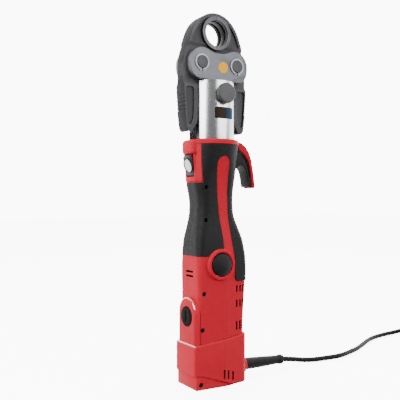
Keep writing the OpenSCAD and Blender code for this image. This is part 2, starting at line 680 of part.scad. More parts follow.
module motor_bracket() {
  color("dimgray") difference() {
    translate([0, 0, bracket_z]) linear_extrude(8) polygon(concat(half_ring(bracket_z + 4, wall + 0.4),
      [for (i = [15:-1:1]) let (p = half_ring(bracket_z + 4, wall + 0.4)[i]) [p[0], -p[1]]]));
    translate([0, 0, bracket_z + 1.4]) linear_extrude(20) circle(r = 9.5 + fit);
    slab(-60, -30.2, -60, 60, 0, 200);
    for (x = [-22, 0, 22], y = [-17, 17]) translate([x, y, 50]) linear_extrude(40) circle(r = 3.4);
    for (s = screw_at) rod_y(s[0], s[1], post_r + gap, -60, 60);
  }
}
module motor_bearings() {
  color("silver") {
    ring(3.02, 9.5, bracket_z + 1.5, bracket_z + 7.8);
    ring(3.02, 7.94, 148.5, 153.4);
  }
}
module brush_holders() {
  color("goldenrod") for (s = [0, 1]) mirror([s, 0, 0]) difference() {
    slab(-32, -12, -5, 5, cap_z - 6, cap_z + 6);
    slab(-40, -5, -3.3, 3.3, cap_z - 4.3, cap_z + 4.3);
  }
}
module carbon_brushes() { color("black") for (s = [0, 1]) mirror([s, 0, 0]) slab(-24, -11.35, -3.2, 3.2, cap_z - 4.2, cap_z + 4.2); }
module control_board() {
  color("green") union() {
    slab(-30, 26, -17, 17, 34, 35.6);
    slab(-24, -10, -12, 2, 35.5, 50);
    slab(2, 20, -10, 10, 35.5, 46);
    for (x = [-28, 24], y = [-15, 15]) translate([x, y, 3.05]) linear_extrude(31) circle(r = 3);
  }
}

// cord
sleeve_x = foot_r + 6;
module bend_sleeve() {
  color("dimgray") translate([sleeve_x, 0, cord_z]) rotate([0, 92.4, 0]) rotate_extrude()
    polygon([[0, -8], [6, -8], [6, 7], [8.4, 7], [8.4, 11], [8, 12], [5.4, sleeve_l - 8], [6.4, sleeve_l - 7],
      [6.4, sleeve_l - 1], [5.6, sleeve_l], [0, sleeve_l]]);
}
cord_r = cord_d / 2;
sleeve_end = [sleeve_x + (sleeve_l + 0.3) * cos(2.4), 0, cord_z - (sleeve_l + 0.3) * sin(2.4)];
route = [[124, 0, 13.7], [136, 0, 12], [152, 0, 9.2], [168, -0.5, 6.2], [184, -1.4, 4.3], [200, -3, 3.8], [216, -5, 3.8],
  [232, -6.4, 3.8], [248, -4.6, 3.8], [264, 0, 3.8], [280, 5, 3.8], [296, 11, 3.8], [312, 18.6, 3.8], [328, 27, 3.8],
  [344, 35.6, 3.8], [360, 43.4, 3.8], [376, 49.6, 3.8], [392, 54, 3.8], [408, 57, 3.8], [424, 59, 3.8], [440, 60, 3.8]];
module mains_cord() {
  color("black") tube(concat([sleeve_end], [for (p = route) [p[0], p[1], max(p[2], cord_r + 0.05)]],
    [for (x = [460, 484, 508]) [x, coil_start[1], coil_start[2] - (x < 470 ? 0.8 : 0)]], [coil_start - [0.3, 0, 0]]), cord_r, 10);
}

// coil of the rest of the cord: four layers of four turns, in and out, with a run down to the plug
coil_at = [522, 0, 0];
coil_in = 27.5;
coil_step = cord_d + 0.8;
coil_rise = cord_d + 0.6;
coil_lift = cord_r + 1.5;
coil_turns = 4;
coil_layers = 4;
function coil_level(n, f) = n + (n < coil_layers - 1 ? max(0, f - coil_turns + 0.25) * 2 : 0)
  - (n > 0 ? max(0, 0.25 - f) * 2 : 0);
function coil_point(t) = let (n = min(coil_layers - 1, floor(t / coil_turns)), f = t - n * coil_turns,
    m = n % 2 == 0 ? coil_turns - f : f, a = 90 - 360 * t, r = coil_in + m * coil_step)
  coil_at + [r * cos(a), r * sin(a), coil_lift + coil_level(n, f) * coil_rise];
coil_end = coil_turns * coil_layers;
coil_start = coil_point(0);
run_down = [[10, 0], [20, 0], [32, 0], [44, 0.13], [56, 0.4], [68, 0.7], [80, 0.92], [90, 1], [100, 1]];
plug_z = 9.4;
coil_top = coil_point(coil_end);
coil_path = concat([for (i = [0:coil_end * 24]) coil_point(i / 24)],
  [for (p = run_down) coil_top + [p[0], 0, p[1] * (plug_z - coil_top[2])]]);
coil_gaps = [for (i = [0:len(coil_path) - 14], j = [i + 13:len(coil_path) - 1]) norm(coil_path[i] - coil_path[j])];
module cord_coil() {
  color("black") tube(coil_path, cord_r, 6);
  echo(least_gap = min(coil_gaps) - cord_d);
}
module coil_tie() {
  r0 = coil_in + coil_step / 2 - cord_r - 0.75;
  r1 = coil_in + (coil_turns - 0.5) * coil_step + cord_r + 0.75;
  z1 = coil_lift + (coil_layers - 1) * coil_rise + cord_r + 0.5;
  color("dimgray") translate([coil_at[0], coil_at[1], 0]) rotate([0, 0, -90]) difference() {
    slab(r0 - 1, r1 + 1, -6, 6, 0.15, z1 + 1);
    slab(r0, r1, -7, 7, 1.15, z1);
  }
}
module plug() {
  p = coil_path[len(coil_path) - 1] + [0.3, 0, 0];
  color("black") translate(p) union() {
    rotate([0, 90, 0]) rotate_extrude() polygon([[0, 0], [5.4, 0], [7.6, 22], [8.4, 40], [0, 40]]);
    slab(38, 52, -17.5, 17.5, -9, 9);
    for (s = [-1, 1]) rod_x(s * 9.5, 0, 2.4, 50, 52 + plug_pin_l);
  }
}

front_shell();
rear_shell();
front_grip();
rear_grip();
collar_ring();
switch_bezel();
hook_frame();
hook_lining();
foot_sleeve();
foot_base();
housing_screws();
brush_caps();
start_lever();
lever_inlay();
start_switch();
return_button();
valve_pin();
jaw_lever_left();
jaw_lever_right();
front_side_plate();
rear_side_plate();
jaw_pins();
retaining_rings();
jaw_fork();
head_bearing();
head_clip();
retaining_bolt();
bolt_knob();
roller_carriage();
roller_axles();
press_roller_left();
press_roller_right();
ram_piston();
piston_seal();
return_spring();
press_cylinder();
cylinder_head();
pump_block();
pump_plunger();
oil_bladder();
gear_case();
planet_carrier();
planet_gear_a();
planet_gear_b();
planet_gear_c();
motor_shaft();
armature();
commutator();
cooling_fan();
motor_stator();
motor_bracket();
motor_bearings();
brush_holders();
carbon_brushes();
control_board();
bend_sleeve();
mains_cord();
cord_coil();
coil_tie();
plug();
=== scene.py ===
import json
import math

import bpy
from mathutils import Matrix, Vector


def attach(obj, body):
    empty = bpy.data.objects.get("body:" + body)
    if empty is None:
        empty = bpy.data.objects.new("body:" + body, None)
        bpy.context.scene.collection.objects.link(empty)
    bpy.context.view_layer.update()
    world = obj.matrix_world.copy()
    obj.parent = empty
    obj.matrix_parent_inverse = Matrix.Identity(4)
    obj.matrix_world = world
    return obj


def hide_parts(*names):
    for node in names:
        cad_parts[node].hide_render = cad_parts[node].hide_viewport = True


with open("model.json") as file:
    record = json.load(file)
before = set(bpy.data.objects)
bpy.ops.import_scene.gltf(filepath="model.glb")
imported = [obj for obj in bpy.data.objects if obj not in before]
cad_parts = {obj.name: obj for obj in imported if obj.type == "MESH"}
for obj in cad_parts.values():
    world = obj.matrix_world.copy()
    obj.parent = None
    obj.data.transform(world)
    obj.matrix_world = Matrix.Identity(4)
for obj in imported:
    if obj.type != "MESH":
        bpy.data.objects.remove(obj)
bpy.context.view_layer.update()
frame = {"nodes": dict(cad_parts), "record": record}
print("frame loaded,", len(frame["nodes"]), "nodes")

mm = 0.001  # the pieces' dictionaries are in millimetres, camera and studio in metres


# small helpers


def deselect():
    bpy.ops.object.select_all(action="DESELECT")


def only(piece):
    deselect()
    piece.select_set(True)
    bpy.context.view_layer.objects.active = piece


def applyModifiers(piece):
    only(piece)
    for name in [step.name for step in piece.modifiers]:
        bpy.ops.object.modifier_apply(modifier=name)


def smooth(piece, angle=32):
    only(piece)
    bpy.ops.object.shade_smooth_by_angle(angle=math.radians(angle))


def settle(piece):
    only(piece)
    bpy.ops.object.transform_apply(location=True, rotation=True, scale=True)


def mend(piece, merge=0, flat=0, outward=True):
    # merges doubled points, dissolves what is flat within an angle, turns the faces outward
    only(piece)
    bpy.ops.object.mode_set(mode="EDIT")
    bpy.ops.mesh.select_all(action="SELECT")
    if merge:
        bpy.ops.mesh.remove_doubles(threshold=merge * mm)
    if flat:
        bpy.ops.mesh.dissolve_limited(angle_limit=math.radians(flat))
    if outward:
        bpy.ops.mesh.normals_make_consistent(inside=False)
    bpy.ops.object.mode_set(mode="OBJECT")


def roundEdges(piece, width, segments=3, angle=34, clamp=True):
    step = piece.modifiers.new("roundEdges", "BEVEL")
    step.width = width * mm
    step.segments = segments
    step.limit_method = "ANGLE"
    step.angle_limit = math.radians(angle)
    step.use_clamp_overlap = clamp
    step.miter_outer = "MITER_ARC"
    applyModifiers(piece)


def joinAll(pieces):
    only(pieces[0])
    for other in pieces[1:]:
        other.select_set(True)
    if len(pieces) > 1:
        bpy.ops.object.join()
    return pieces[0]


def cutAway(piece, cutters):
    tool = joinAll(cutters)
    step = piece.modifiers.new("cut", "BOOLEAN")
    step.operation = "DIFFERENCE"
    step.solver = "EXACT"
    step.object = tool
    applyModifiers(piece)
    bpy.data.objects.remove(tool)


def boxTool(low, high):
    deselect()
    bpy.ops.mesh.primitive_cube_add(size=1)
    tool = bpy.context.object
    tool.scale = [(b - a) * mm for a, b in zip(low, high)]
    tool.location = [(a + b) / 2 * mm for a, b in zip(low, high)]
    settle(tool)
    return tool


def rodTool(axis, at, radius, start, end, sides=48):
    # round cutter along the x or y axis, placed by its two other coordinates
    middle = (start + end) / 2
    places = {"x": (middle, at[0], at[1]), "y": (at[0], middle, at[1])}
    turns = {"x": (0, math.pi / 2, 0), "y": (math.pi / 2, 0, 0)}
    deselect()
    bpy.ops.mesh.primitive_cylinder_add(
        vertices=sides, radius=radius * mm, depth=abs(end - start) * mm,
        location=[part * mm for part in places[axis]], rotation=turns[axis])
    tool = bpy.context.object
    settle(tool)
    return tool


def dress(piece, body, slot, finish, *nodes):
    piece.data.materials.clear()
    piece.data.materials.append(finish)
    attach(piece, body)
    if nodes:
        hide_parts(*nodes)


# camera at the photograph's angle

cameraView = {
    "azimuth": -33, "distance": 0.832, "height": 0.252, "lens": 54, "shift": -0.0293, "nearest": 0.01,
}


def placeCamera():
    turn = math.radians(cameraView["azimuth"])
    away = cameraView["distance"]
    deselect()
    bpy.ops.object.camera_add(
        location=(away * math.sin(turn), -away * math.cos(turn), cameraView["height"]),
        rotation=(math.pi / 2, 0, turn),
    )
    camera = bpy.context.object
    camera.name = "photoCamera"
    camera.data.lens = cameraView["lens"]
    camera.data.shift_x = cameraView["shift"]
    camera.data.clip_start = cameraView["nearest"]
    bpy.context.scene.camera = camera


placeCamera()
print("camera placed")

# soft studio light

lamps = {
    "keyLamp": {"at": (-1.6, -0.25, 0.85), "aim": (0, 0, 0.25), "size": (1.1, 1.7), "power": 46},
    "fillLamp": {"at": (0.62, -1.5, 0.8), "aim": (0, 0, 0.25), "size": (1.5, 1.5), "power": 28},
    "topLamp": {"at": (0.1, 0.25, 2.0), "aim": (0, 0, 0.2), "size": (1.6, 1.6), "power": 18},
    "backLamp": {"at": (1.2, 1.6, 1.0), "aim": (0, 0, 0.3), "size": (1.2, 1.2), "power": 8},
}
sky = {"front": 0.2, "back": 4.0, "from": -0.1, "to": 0.6}


def placeLamps():
    for name, lamp in lamps.items():
        deselect()
        bpy.ops.object.light_add(type="AREA", location=lamp["at"])
        light = bpy.context.object
        light.name = name
        light.data.shape = "RECTANGLE"
        light.data.size = lamp["size"][0]
        light.data.size_y = lamp["size"][1]
        light.data.energy = lamp["power"]
        towards = Vector(lamp["aim"]) - Vector(lamp["at"])
        light.rotation_euler = towards.to_track_quat("-Z", "Y").to_euler()


def paintSky():
    # dim in front of the tool and white behind it
    world = bpy.data.worlds.new("studioWhite")
    world.use_nodes = True
    tree = world.node_tree
    turn = math.radians(cameraView["azimuth"])
    facing = tree.nodes.new("ShaderNodeVectorMath")
    facing.operation = "DOT_PRODUCT"
    facing.inputs[1].default_value = (-math.sin(turn), math.cos(turn), 0)
    tree.links.new(tree.nodes.new("ShaderNodeTexCoord").outputs["Generated"], facing.inputs[0])
    ramp = tree.nodes.new("ShaderNodeMapRange")
    ramp.inputs["From Min"].default_value = sky["from"]
    ramp.inputs["From Max"].default_value = sky["to"]
    ramp.inputs["To Min"].default_value = sky["front"]
    ramp.inputs["To Max"].default_value = sky["back"]
    tree.links.new(facing.outputs["Value"], ramp.inputs["Value"])
    tree.links.new(ramp.outputs[0], tree.nodes["Background"].inputs["Strength"])
    tree.nodes["Background"].inputs["Color"].default_value = (1, 1, 1, 1)
    bpy.context.scene.world = world


placeLamps()
paintSky()
print("studio light placed")

# shader groups that the finishes share


def newGroup(name, inputs, outputs):
    group = bpy.data.node_groups.new(name, "ShaderNodeTree")
    for label, kind in inputs:
        group.interface.new_socket(name=label, in_out="INPUT", socket_type=kind)
    for label in outputs:
        group.interface.new_socket(name=label, in_out="OUTPUT", socket_type="NodeSocketFloat")
    start = group.nodes.new("NodeGroupInput")
    end = group.nodes.new("NodeGroupOutput")
    return group, start, end


def mathNode(tree, operation, first, second):
    node = tree.nodes.new("ShaderNodeMath")
    node.operation = operation
    for place, value in ((0, first), (1, second)):
        if isinstance(value, (int, float)):
            node.inputs[place].default_value = value
        else:
            tree.links.new(value, node.inputs[place])
    return node.outputs[0]


def noiseNode(tree, vector, scale, detail, rough=0.55):
    node = tree.nodes.new("ShaderNodeTexNoise")
    node.inputs["Detail"].default_value = detail
    node.inputs["Roughness"].default_value = rough
    tree.links.new(vector, node.inputs["Vector"])
    if isinstance(scale, (int, float)):
        node.inputs["Scale"].default_value = scale
    else:
        tree.links.new(scale, node.inputs["Scale"])
    return node.outputs["Fac"]


grainLook = {"patchScale": 0.03, "glossScale": 0.12}
rubLook = {"from": 0.515, "to": 0.60, "scale": 190.0}


def makeGrainGroup():
    # fine grain for the bump, slow patches for the colour, middling ones for the gloss
    group, start, end = newGroup(
        "mouldGrain",
        [("Vector", "NodeSocketVector"), ("Scale", "NodeSocketFloat")],
        ["Grain", "Patch", "Gloss"],
    )
    vector = start.outputs["Vector"]
    scale = start.outputs["Scale"]
    patchScale = mathNode(group, "MULTIPLY", scale, grainLook["patchScale"])
    glossScale = mathNode(group, "MULTIPLY", scale, grainLook["glossScale"])
    group.links.new(noiseNode(group, vector, scale, detail=2.0), end.inputs["Grain"])
    group.links.new(noiseNode(group, vector, patchScale, detail=4.0), end.inputs["Patch"])
    group.links.new(noiseNode(group, vector, glossScale, detail=5.0, rough=0.65), end.inputs["Gloss"])
    return group


def makeStreakGroup():
    # long thin lines left by grinding or turning
    group, start, end = newGroup(
        "toolLines",
        [("Vector", "NodeSocketVector"), ("Stretch", "NodeSocketVector"), ("Scale", "NodeSocketFloat")],
        ["Lines"],
    )
    stretch = group.nodes.new("ShaderNodeVectorMath")
    stretch.operation = "MULTIPLY"
    group.links.new(start.outputs["Vector"], stretch.inputs[0])
    group.links.new(start.outputs["Stretch"], stretch.inputs[1])
    lines = noiseNode(group, stretch.outputs[0], start.outputs["Scale"], detail=4.0, rough=0.6)
    group.links.new(lines, end.inputs["Lines"])
    return group


def makeEdgeGroup():
    # rubbed edges: sharp outward edges, broken up by noise
    group, start, end = newGroup(
        "edgeRub",
        [("Pointiness", "NodeSocketFloat"), ("Vector", "NodeSocketVector"), ("Amount", "NodeSocketFloat")],
        ["Mask"],
    )
    ramp = group.nodes.new("ShaderNodeMapRange")
    ramp.inputs["From Min"].default_value = rubLook["from"]
    ramp.inputs["From Max"].default_value = rubLook["to"]
    group.links.new(start.outputs["Pointiness"], ramp.inputs["Value"])
    breakUp = noiseNode(group, start.outputs["Vector"], rubLook["scale"], detail=5.0, rough=0.7)
    worn = mathNode(group, "MULTIPLY", ramp.outputs[0], breakUp)
    group.links.new(mathNode(group, "MULTIPLY", worn, start.outputs["Amount"]), end.inputs["Mask"])
    return group


grainGroup = makeGrainGroup()
streakGroup = makeStreakGroup()
edgeGroup = makeEdgeGroup()

# finishes


def tone(colour):
    # colour in steps of 0 to 255, turned to linear light
    steps = []
    for part in [step / 255 for step in colour]:
        steps.append(part / 12.92 if part <= 0.04045 else ((part + 0.055) / 1.055) ** 2.4)
    return (steps[0], steps[1], steps[2], 1)


def placeGroup(tree, group, **values):
    node = tree.nodes.new("ShaderNodeGroup")
    node.node_tree = group
    for label, value in values.items():
        if isinstance(value, (int, float, tuple)):
            node.inputs[label].default_value = value
        else:
            tree.links.new(value, node.inputs[label])
    return node


def mixColour(tree, first, second, factor):
    node = tree.nodes.new("ShaderNodeMix")
    node.data_type = "RGBA"
    tree.links.new(factor, node.inputs["Factor"])
    for label, value in (("A", first), ("B", second)):
        sockets = [socket for socket in node.inputs if socket.name == label and socket.type == "RGBA"]
        if isinstance(value, tuple):
            sockets[0].default_value = value
        else:
            tree.links.new(value, sockets[0])
    return [socket for socket in node.outputs if socket.type == "RGBA"][0]


glossSpan = {"from": 0.3, "to": 0.7}
linesMix = {"grainShare": 0.4, "glossShare": 0.5}


def makeFinish(name, look):
    material = bpy.data.materials.new(name)
    material.use_nodes = True
    tree = material.node_tree
    shader = tree.nodes["Principled BSDF"]
    place = tree.nodes.new("ShaderNodeTexCoord").outputs["Object"]
    shape = tree.nodes.new("ShaderNodeNewGeometry").outputs["Pointiness"]
    grain = placeGroup(tree, grainGroup, Vector=place, Scale=look["grain"])
    rub = placeGroup(tree, edgeGroup, Pointiness=shape, Vector=place, Amount=look["rub"])
    colour = mixColour(tree, tone(look["base"]), tone(look["second"]), grain.outputs["Patch"])
    height = grain.outputs["Grain"]
    gloss = grain.outputs["Gloss"]
    if "stretch" in look:
        streaks = placeGroup(tree, streakGroup, Vector=place, Stretch=look["stretch"], Scale=look["lines"])
        lines = streaks.outputs["Lines"]
        height = mathNode(tree, "ADD", mathNode(tree, "MULTIPLY", height, linesMix["grainShare"]), lines)
        gloss = mathNode(tree, "MULTIPLY", mathNode(tree, "ADD", gloss, lines), linesMix["glossShare"])
    colour = mixColour(tree, colour, tone(look["edge"]), rub.outputs["Mask"])
    tree.links.new(colour, shader.inputs["Base Color"])
    rough = tree.nodes.new("ShaderNodeMapRange")
    rough.inputs["From Min"].default_value = glossSpan["from"]
    rough.inputs["From Max"].default_value = glossSpan["to"]
    rough.inputs["To Min"].default_value = look["rough"] - look["spread"]
    rough.inputs["To Max"].default_value = look["rough"] + look["spread"]
    tree.links.new(gloss, rough.inputs["Value"])
    tree.links.new(rough.outputs[0], shader.inputs["Roughness"])
    shader.inputs["Metallic"].default_value = look.get("metal", 0)
    shader.inputs["Specular IOR Level"].default_value = look.get("shine", 0.5)
    shader.inputs["Coat Weight"].default_value = look.get("coat", 0)
    shader.inputs["Coat IOR"].default_value = look.get("coatIndex", 1.5)
    shader.inputs["Emission Color"].default_value = (1, 1, 1, 1)
    shader.inputs["Emission Strength"].default_value = look.get("glow", 0)
    bump = tree.nodes.new("ShaderNodeBump")
    bump.inputs["Strength"].default_value = look["bump"]
    bump.inputs["Distance"].default_value = look.get("depth", 0.0001)
    tree.links.new(height, bump.inputs["Height"])
    tree.links.new(bump.outputs["Normal"], shader.inputs["Normal"])
    return material


redPlastic = makeFinish("redHousingPlastic", {
    "base": (190, 29, 46), "second": (198, 34, 52), "edge": (206, 50, 62),
    "grain": 2600, "rough": 0.42, "spread": 0.05, "bump": 0.16, "rub": 0.3, "shine": 0.03})
redGloss = makeFinish("redPolishedEdge", {
    "base": (190, 26, 40), "second": (196, 30, 44), "edge": (206, 50, 62),
    "grain": 2600, "rough": 0.16, "spread": 0.04, "bump": 0.04, "rub": 0.3, "shine": 0.9,
    "coat": 1.0, "coatIndex": 2.4})
blackRubber = makeFinish("blackGripRubber", {
    "base": (17, 16, 18), "second": (22, 21, 23), "edge": (42, 42, 45),
    "grain": 2200, "rough": 0.62, "spread": 0.08, "bump": 0.5, "depth": 0.00014, "rub": 0.6, "shine": 0.22})
blackPlastic = makeFinish("blackPlastic", {
    "base": (11, 11, 12), "second": (16, 16, 17), "edge": (44, 44, 47),
    "grain": 2400, "rough": 0.45, "spread": 0.07, "bump": 0.25, "rub": 0.5, "shine": 0.3})
capPlastic = makeFinish("blackCapPlastic", {
    "base": (13, 12, 14), "second": (16, 15, 17), "edge": (34, 34, 36),
    "grain": 2400, "rough": 0.6, "spread": 0.07, "bump": 0.2, "rub": 0.5, "shine": 0.04})
knobPlastic = makeFinish("greyKnobPlastic", {
    "base": (58, 57, 58), "second": (66, 65, 66), "edge": (104, 103, 104),
    "grain": 2300, "rough": 0.48, "spread": 0.08, "bump": 0.3, "rub": 0.5})
silverPlastic = makeFinish("silverInlay", {
    "base": (205, 210, 209), "second": (216, 220, 219), "edge": (235, 238, 238),
    "grain": 2400, "rough": 0.3, "spread": 0.06, "bump": 0.12, "rub": 0.4, "metal": 0.35})
cordRubber = makeFinish("cordRubber", {
    "base": (8, 8, 9), "second": (12, 12, 13), "edge": (30, 30, 32),
    "grain": 2000, "rough": 0.55, "spread": 0.08, "bump": 0.3, "rub": 0.3, "shine": 0.16})
darkSteel = makeFinish("phosphatedSteel", {
    "base": (58, 58, 61), "second": (67, 67, 71), "edge": (124, 124, 128),
    "grain": 1700, "rough": 0.42, "spread": 0.08, "bump": 0.4, "depth": 0.00012, "rub": 0.8, "metal": 0.8})
jawSteel = makeFinish("phosphatedJawSteel", {
    "base": (78, 78, 81), "second": (86, 86, 89), "edge": (124, 124, 128),
    "grain": 1700, "rough": 0.6, "spread": 0.08, "bump": 0.4, "depth": 0.00012, "rub": 0.7, "shine": 0.1})
ringSteel = makeFinish("groundRingFace", {
    "base": (72, 72, 75), "second": (80, 80, 83), "edge": (136, 136, 140),
    "grain": 1700, "rough": 0.4, "spread": 0.08, "bump": 0.25, "rub": 0.6, "metal": 0.85})
# painted shade: a darker copy of the jaw steel for the flanks, which the key lamp lights more than the
# front
flankShadeSteel = makeFinish("jawFlankPaintedShade", {
    "base": (38, 38, 40), "second": (44, 44, 46), "edge": (98, 98, 101),
    "grain": 1500, "rough": 0.62, "spread": 0.08, "bump": 0.5, "depth": 0.00014, "rub": 0.7, "shine": 0.06})
# black steel for the screws, and painted shade in the jaw bore and on its ring wall
blackSteelAndBoreShade = makeFinish("blackedScrewsAndBoreShade", {
    "base": (16, 16, 17), "second": (22, 22, 23), "edge": (52, 52, 54),
    "grain": 1700, "rough": 0.5, "spread": 0.1, "bump": 0.3, "rub": 0.5, "metal": 0.6, "shine": 0.3})
satinSteel = makeFinish("satinPlateSteel", {
    "base": (85, 86, 90), "second": (95, 96, 100), "edge": (168, 169, 172),
    "grain": 1900, "rough": 0.38, "spread": 0.08, "bump": 0.22, "rub": 0.7, "metal": 0.9,
    "stretch": (1, 1, 0.06), "lines": 1400})
brightSteel = makeFinish("platedSteel", {
    "base": (218, 220, 222), "second": (228, 230, 232), "edge": (246, 247, 248),
    "grain": 1500, "rough": 0.24, "spread": 0.05, "bump": 0.07, "rub": 0.5, "metal": 1.0,
    "stretch": (1, 1, 0.03), "lines": 1800})
castAlloy = makeFinish("castAlloy", {
    "base": (150, 152, 154), "second": (172, 173, 175), "edge": (205, 206, 208),
    "grain": 1300, "rough": 0.5, "spread": 0.1, "bump": 0.5, "depth": 0.00018, "rub": 0.6, "metal": 0.9})
brassMetal = makeFinish("brass", {
    "base": (186, 150, 78), "second": (200, 164, 92), "edge": (228, 200, 138),
    "grain": 1500, "rough": 0.3, "spread": 0.08, "bump": 0.16, "rub": 0.6, "metal": 1.0})
copperMetal = makeFinish("copperWinding", {
    "base": (158, 86, 50), "second": (182, 104, 64), "edge": (222, 150, 110),
    "grain": 1500, "rough": 0.36, "spread": 0.1, "bump": 0.4, "rub": 0.5, "metal": 0.9,
    "stretch": (1, 1, 0.05), "lines": 1100})
# carbon for the brushes, and painted shade on inner faces that show through slots and wells
carbonAndShade = makeFinish("carbonBrushAndPaintedShade", {
    "base": (36, 36, 38), "second": (50, 50, 52), "edge": (92, 92, 94),
    "grain": 1800, "rough": 0.6, "spread": 0.1, "bump": 0.5, "rub": 0.5})
greenBoard = makeFinish("greenBoard", {
    "base": (28, 86, 52), "second": (36, 98, 60), "edge": (150, 160, 110),
    "grain": 1600, "rough": 0.4, "spread": 0.08, "bump": 0.2, "rub": 0.4})
labelFilm = makeFinish("plainLabel", {
    "base": (38, 26, 18), "second": (44, 31, 22), "edge": (96, 80, 68),
    "grain": 1900, "rough": 0.42, "spread": 0.06, "bump": 0.1, "rub": 0.4, "shine": 0.1})
labelBlue = makeFinish("plainLabelBlue", {
    "base": (24, 48, 74), "second": (30, 55, 82), "edge": (70, 92, 114),
    "grain": 1900, "rough": 0.42, "spread": 0.06, "bump": 0.1, "rub": 0.4, "shine": 0.1})
dotFilm = makeFinish("yellowDot", {
    "base": (244, 176, 6), "second": (248, 184, 14), "edge": (250, 200, 90),
    "grain": 1900, "rough": 0.4, "spread": 0.06, "bump": 0.1, "rub": 0.3, "shine": 0.1})
stageLook = {
    "base": (244, 244, 244), "second": (247, 247, 247), "edge": (250, 250, 250),
    "grain": 300, "rough": 0.85, "spread": 0.05, "bump": 0.02, "rub": 0.0, "shine": 0.1}
floorPaint = makeFinish("paleFloor", {**stageLook, "glow": 8.0})
surroundPaint = makeFinish("paleSurround", {**stageLook, "glow": 10.0})
print("finishes ready")

# pale floor and surround

floorSize = {"across": 14, "surround": 12}


def makeFloor():
    deselect()
    bpy.ops.mesh.primitive_plane_add(size=floorSize["across"])
    floor = bpy.context.object
    floor.name = "studioFloor"
    bpy.ops.mesh.primitive_uv_sphere_add(segments=48, ring_count=24, radius=floorSize["surround"])
    surround = bpy.context.object
    surround.name = "studioSurround"
    for stage, paint in ((floor, floorPaint), (surround, surroundPaint)):
        # seen by the camera only, so that the lamps alone shape the tool
        stage.visible_diffuse = False
        stage.visible_glossy = False
        stage.visible_shadow = False
        stage.data.materials.append(paint)


makeFloor()

# mains cord: one line from the bend sleeve along the floor, wound into a coil, to the plug

cord = {
    "diameter": 7.5, "sleeveAt": (48, 17), "sleeveLong": 68.3, "sleeveTilt": 2.4,
    "route": [(124, 0, 13.7), (136, 0, 12), (152, 0, 9.2), (168, -0.5, 6.2), (184, -1.4, 4.3),
              (200, -3, 3.8), (216, -5, 3.8), (232, -6.4, 3.8), (248, -4.6, 3.8), (264, 0, 3.8),
              (280, 5, 3.8), (296, 11, 3.8), (312, 18.6, 3.8), (328, 27, 3.8), (344, 35.6, 3.8),
              (360, 43.4, 3.8), (376, 49.6, 3.8), (392, 54, 3.8), (408, 57, 3.8), (424, 59, 3.8),
              (440, 60, 3.8), (460, 60.7, 4.45), (484, 60.7, 5.25), (508, 60.7, 5.25)],
    "coilAt": (522, 0), "coilInner": 27.5, "coilStep": 8.3, "coilRise": 8.1, "coilLift": 5.25,
    "turns": 4, "layers": 4, "climb": 0.25, "stepsATurn": 32, "routeParts": 3, "downParts": 2,
    "runDown": [(10, 0), (20, 0), (32, 0), (44, 0.13), (56, 0.4), (68, 0.7), (80, 0.92), (90, 1), (100, 1)],
    "plugHigh": 9.4, "length": 4.95,  # the length is in metres
}


def coilPoint(turn):
    layer = min(cord["layers"] - 1, int(turn // cord["turns"]))
    done = turn - layer * cord["turns"]
    ring = cord["turns"] - done if layer % 2 == 0 else done
    # half the step to the next layer is made before a layer ends and half after the next begins
    climb = cord["climb"]
    level = layer
    if layer < cord["layers"] - 1:
        level += max(0, done - cord["turns"] + climb) * 0.5 / climb
    if layer > 0:
        level -= max(0, climb - done) * 0.5 / climb
    radius = cord["coilInner"] + ring * cord["coilStep"]
    angle = math.radians(90 - 360 * turn)
    return Vector((
        cord["coilAt"][0] + radius * math.cos(angle),
        cord["coilAt"][1] + radius * math.sin(angle),
        cord["coilLift"] + level * cord["coilRise"],
    ))


def throughPoints(points, parts):
    # rounds a route off by passing a smooth line through its points
    line = []
    for index in range(len(points) - 1):
        before = points[max(index - 1, 0)]
        here = points[index]
        there = points[index + 1]
        after = points[min(index + 2, len(points) - 1)]
        for part in range(parts):
            t = part / parts
            line.append(0.5 * (2 * here + (there - before) * t
                               + (2 * before - 5 * here + 4 * there - after) * t * t
                               + (3 * here - before - 3 * there + after) * t ** 3))
    line.append(points[-1])
    return line


def cordLine():
    tilt = math.radians(cord["sleeveTilt"])
    startX = cord["sleeveAt"][0] + cord["sleeveLong"] * math.cos(tilt)
    startZ = cord["sleeveAt"][1] - cord["sleeveLong"] * math.sin(tilt)
    first = [Vector((startX, 0, startZ))] + [Vector(point) for point in cord["route"]]
    steps = cord["stepsATurn"]
    last = cord["turns"] * cord["layers"]
    coil = [coilPoint(index / steps) for index in range(last * steps + 1)]
    top = coil[-1]
    drop = cord["plugHigh"] - top.z
    down = [top + Vector((along, 0, part * drop)) for along, part in cord["runDown"]]
    line = throughPoints(first + [coil[0]], cord["routeParts"])[:-1] + coil
    line += throughPoints([top] + down, cord["downParts"])[1:]
    return [point * mm for point in line]


def makeCord():
    line = cordLine()
    shape = bpy.data.curves.new("mainsCord", "CURVE")
    shape.dimensions = "3D"
    shape.bevel_depth = cord["diameter"] / 2 * mm
    shape.bevel_resolution = 3
    shape.use_fill_caps = True
    run = shape.splines.new("POLY")
    run.points.add(len(line) - 1)
    for point, place in zip(run.points, line):
        point.co = (place.x, place.y, place.z, 1)
    piece = bpy.data.objects.new("mainsCord", shape)
    bpy.context.scene.collection.objects.link(piece)
    length = sum((b - a).length for a, b in zip(line, line[1:]))
    print("cord length", round(length, 4), "points", len(line))
    dress(piece, "housing", "cord_rubber", cordRubber, "mains_cord", "cord_coil")
    return piece, line


cordPiece, cordRun = makeCord()

# pieces that keep their solid's shape and get rounded edges and a finish


def copyNode(node, name):
    source = frame["nodes"][node]
    piece = bpy.data.objects.new(name, source.data.copy())
    bpy.context.scene.collection.objects.link(piece)
    only(piece)
    if piece.data.has_custom_normals:
        bpy.ops.mesh.customdata_custom_splitnormals_clear()
    mend(piece, merge=0.004, flat=0.6, outward=False)
    return piece


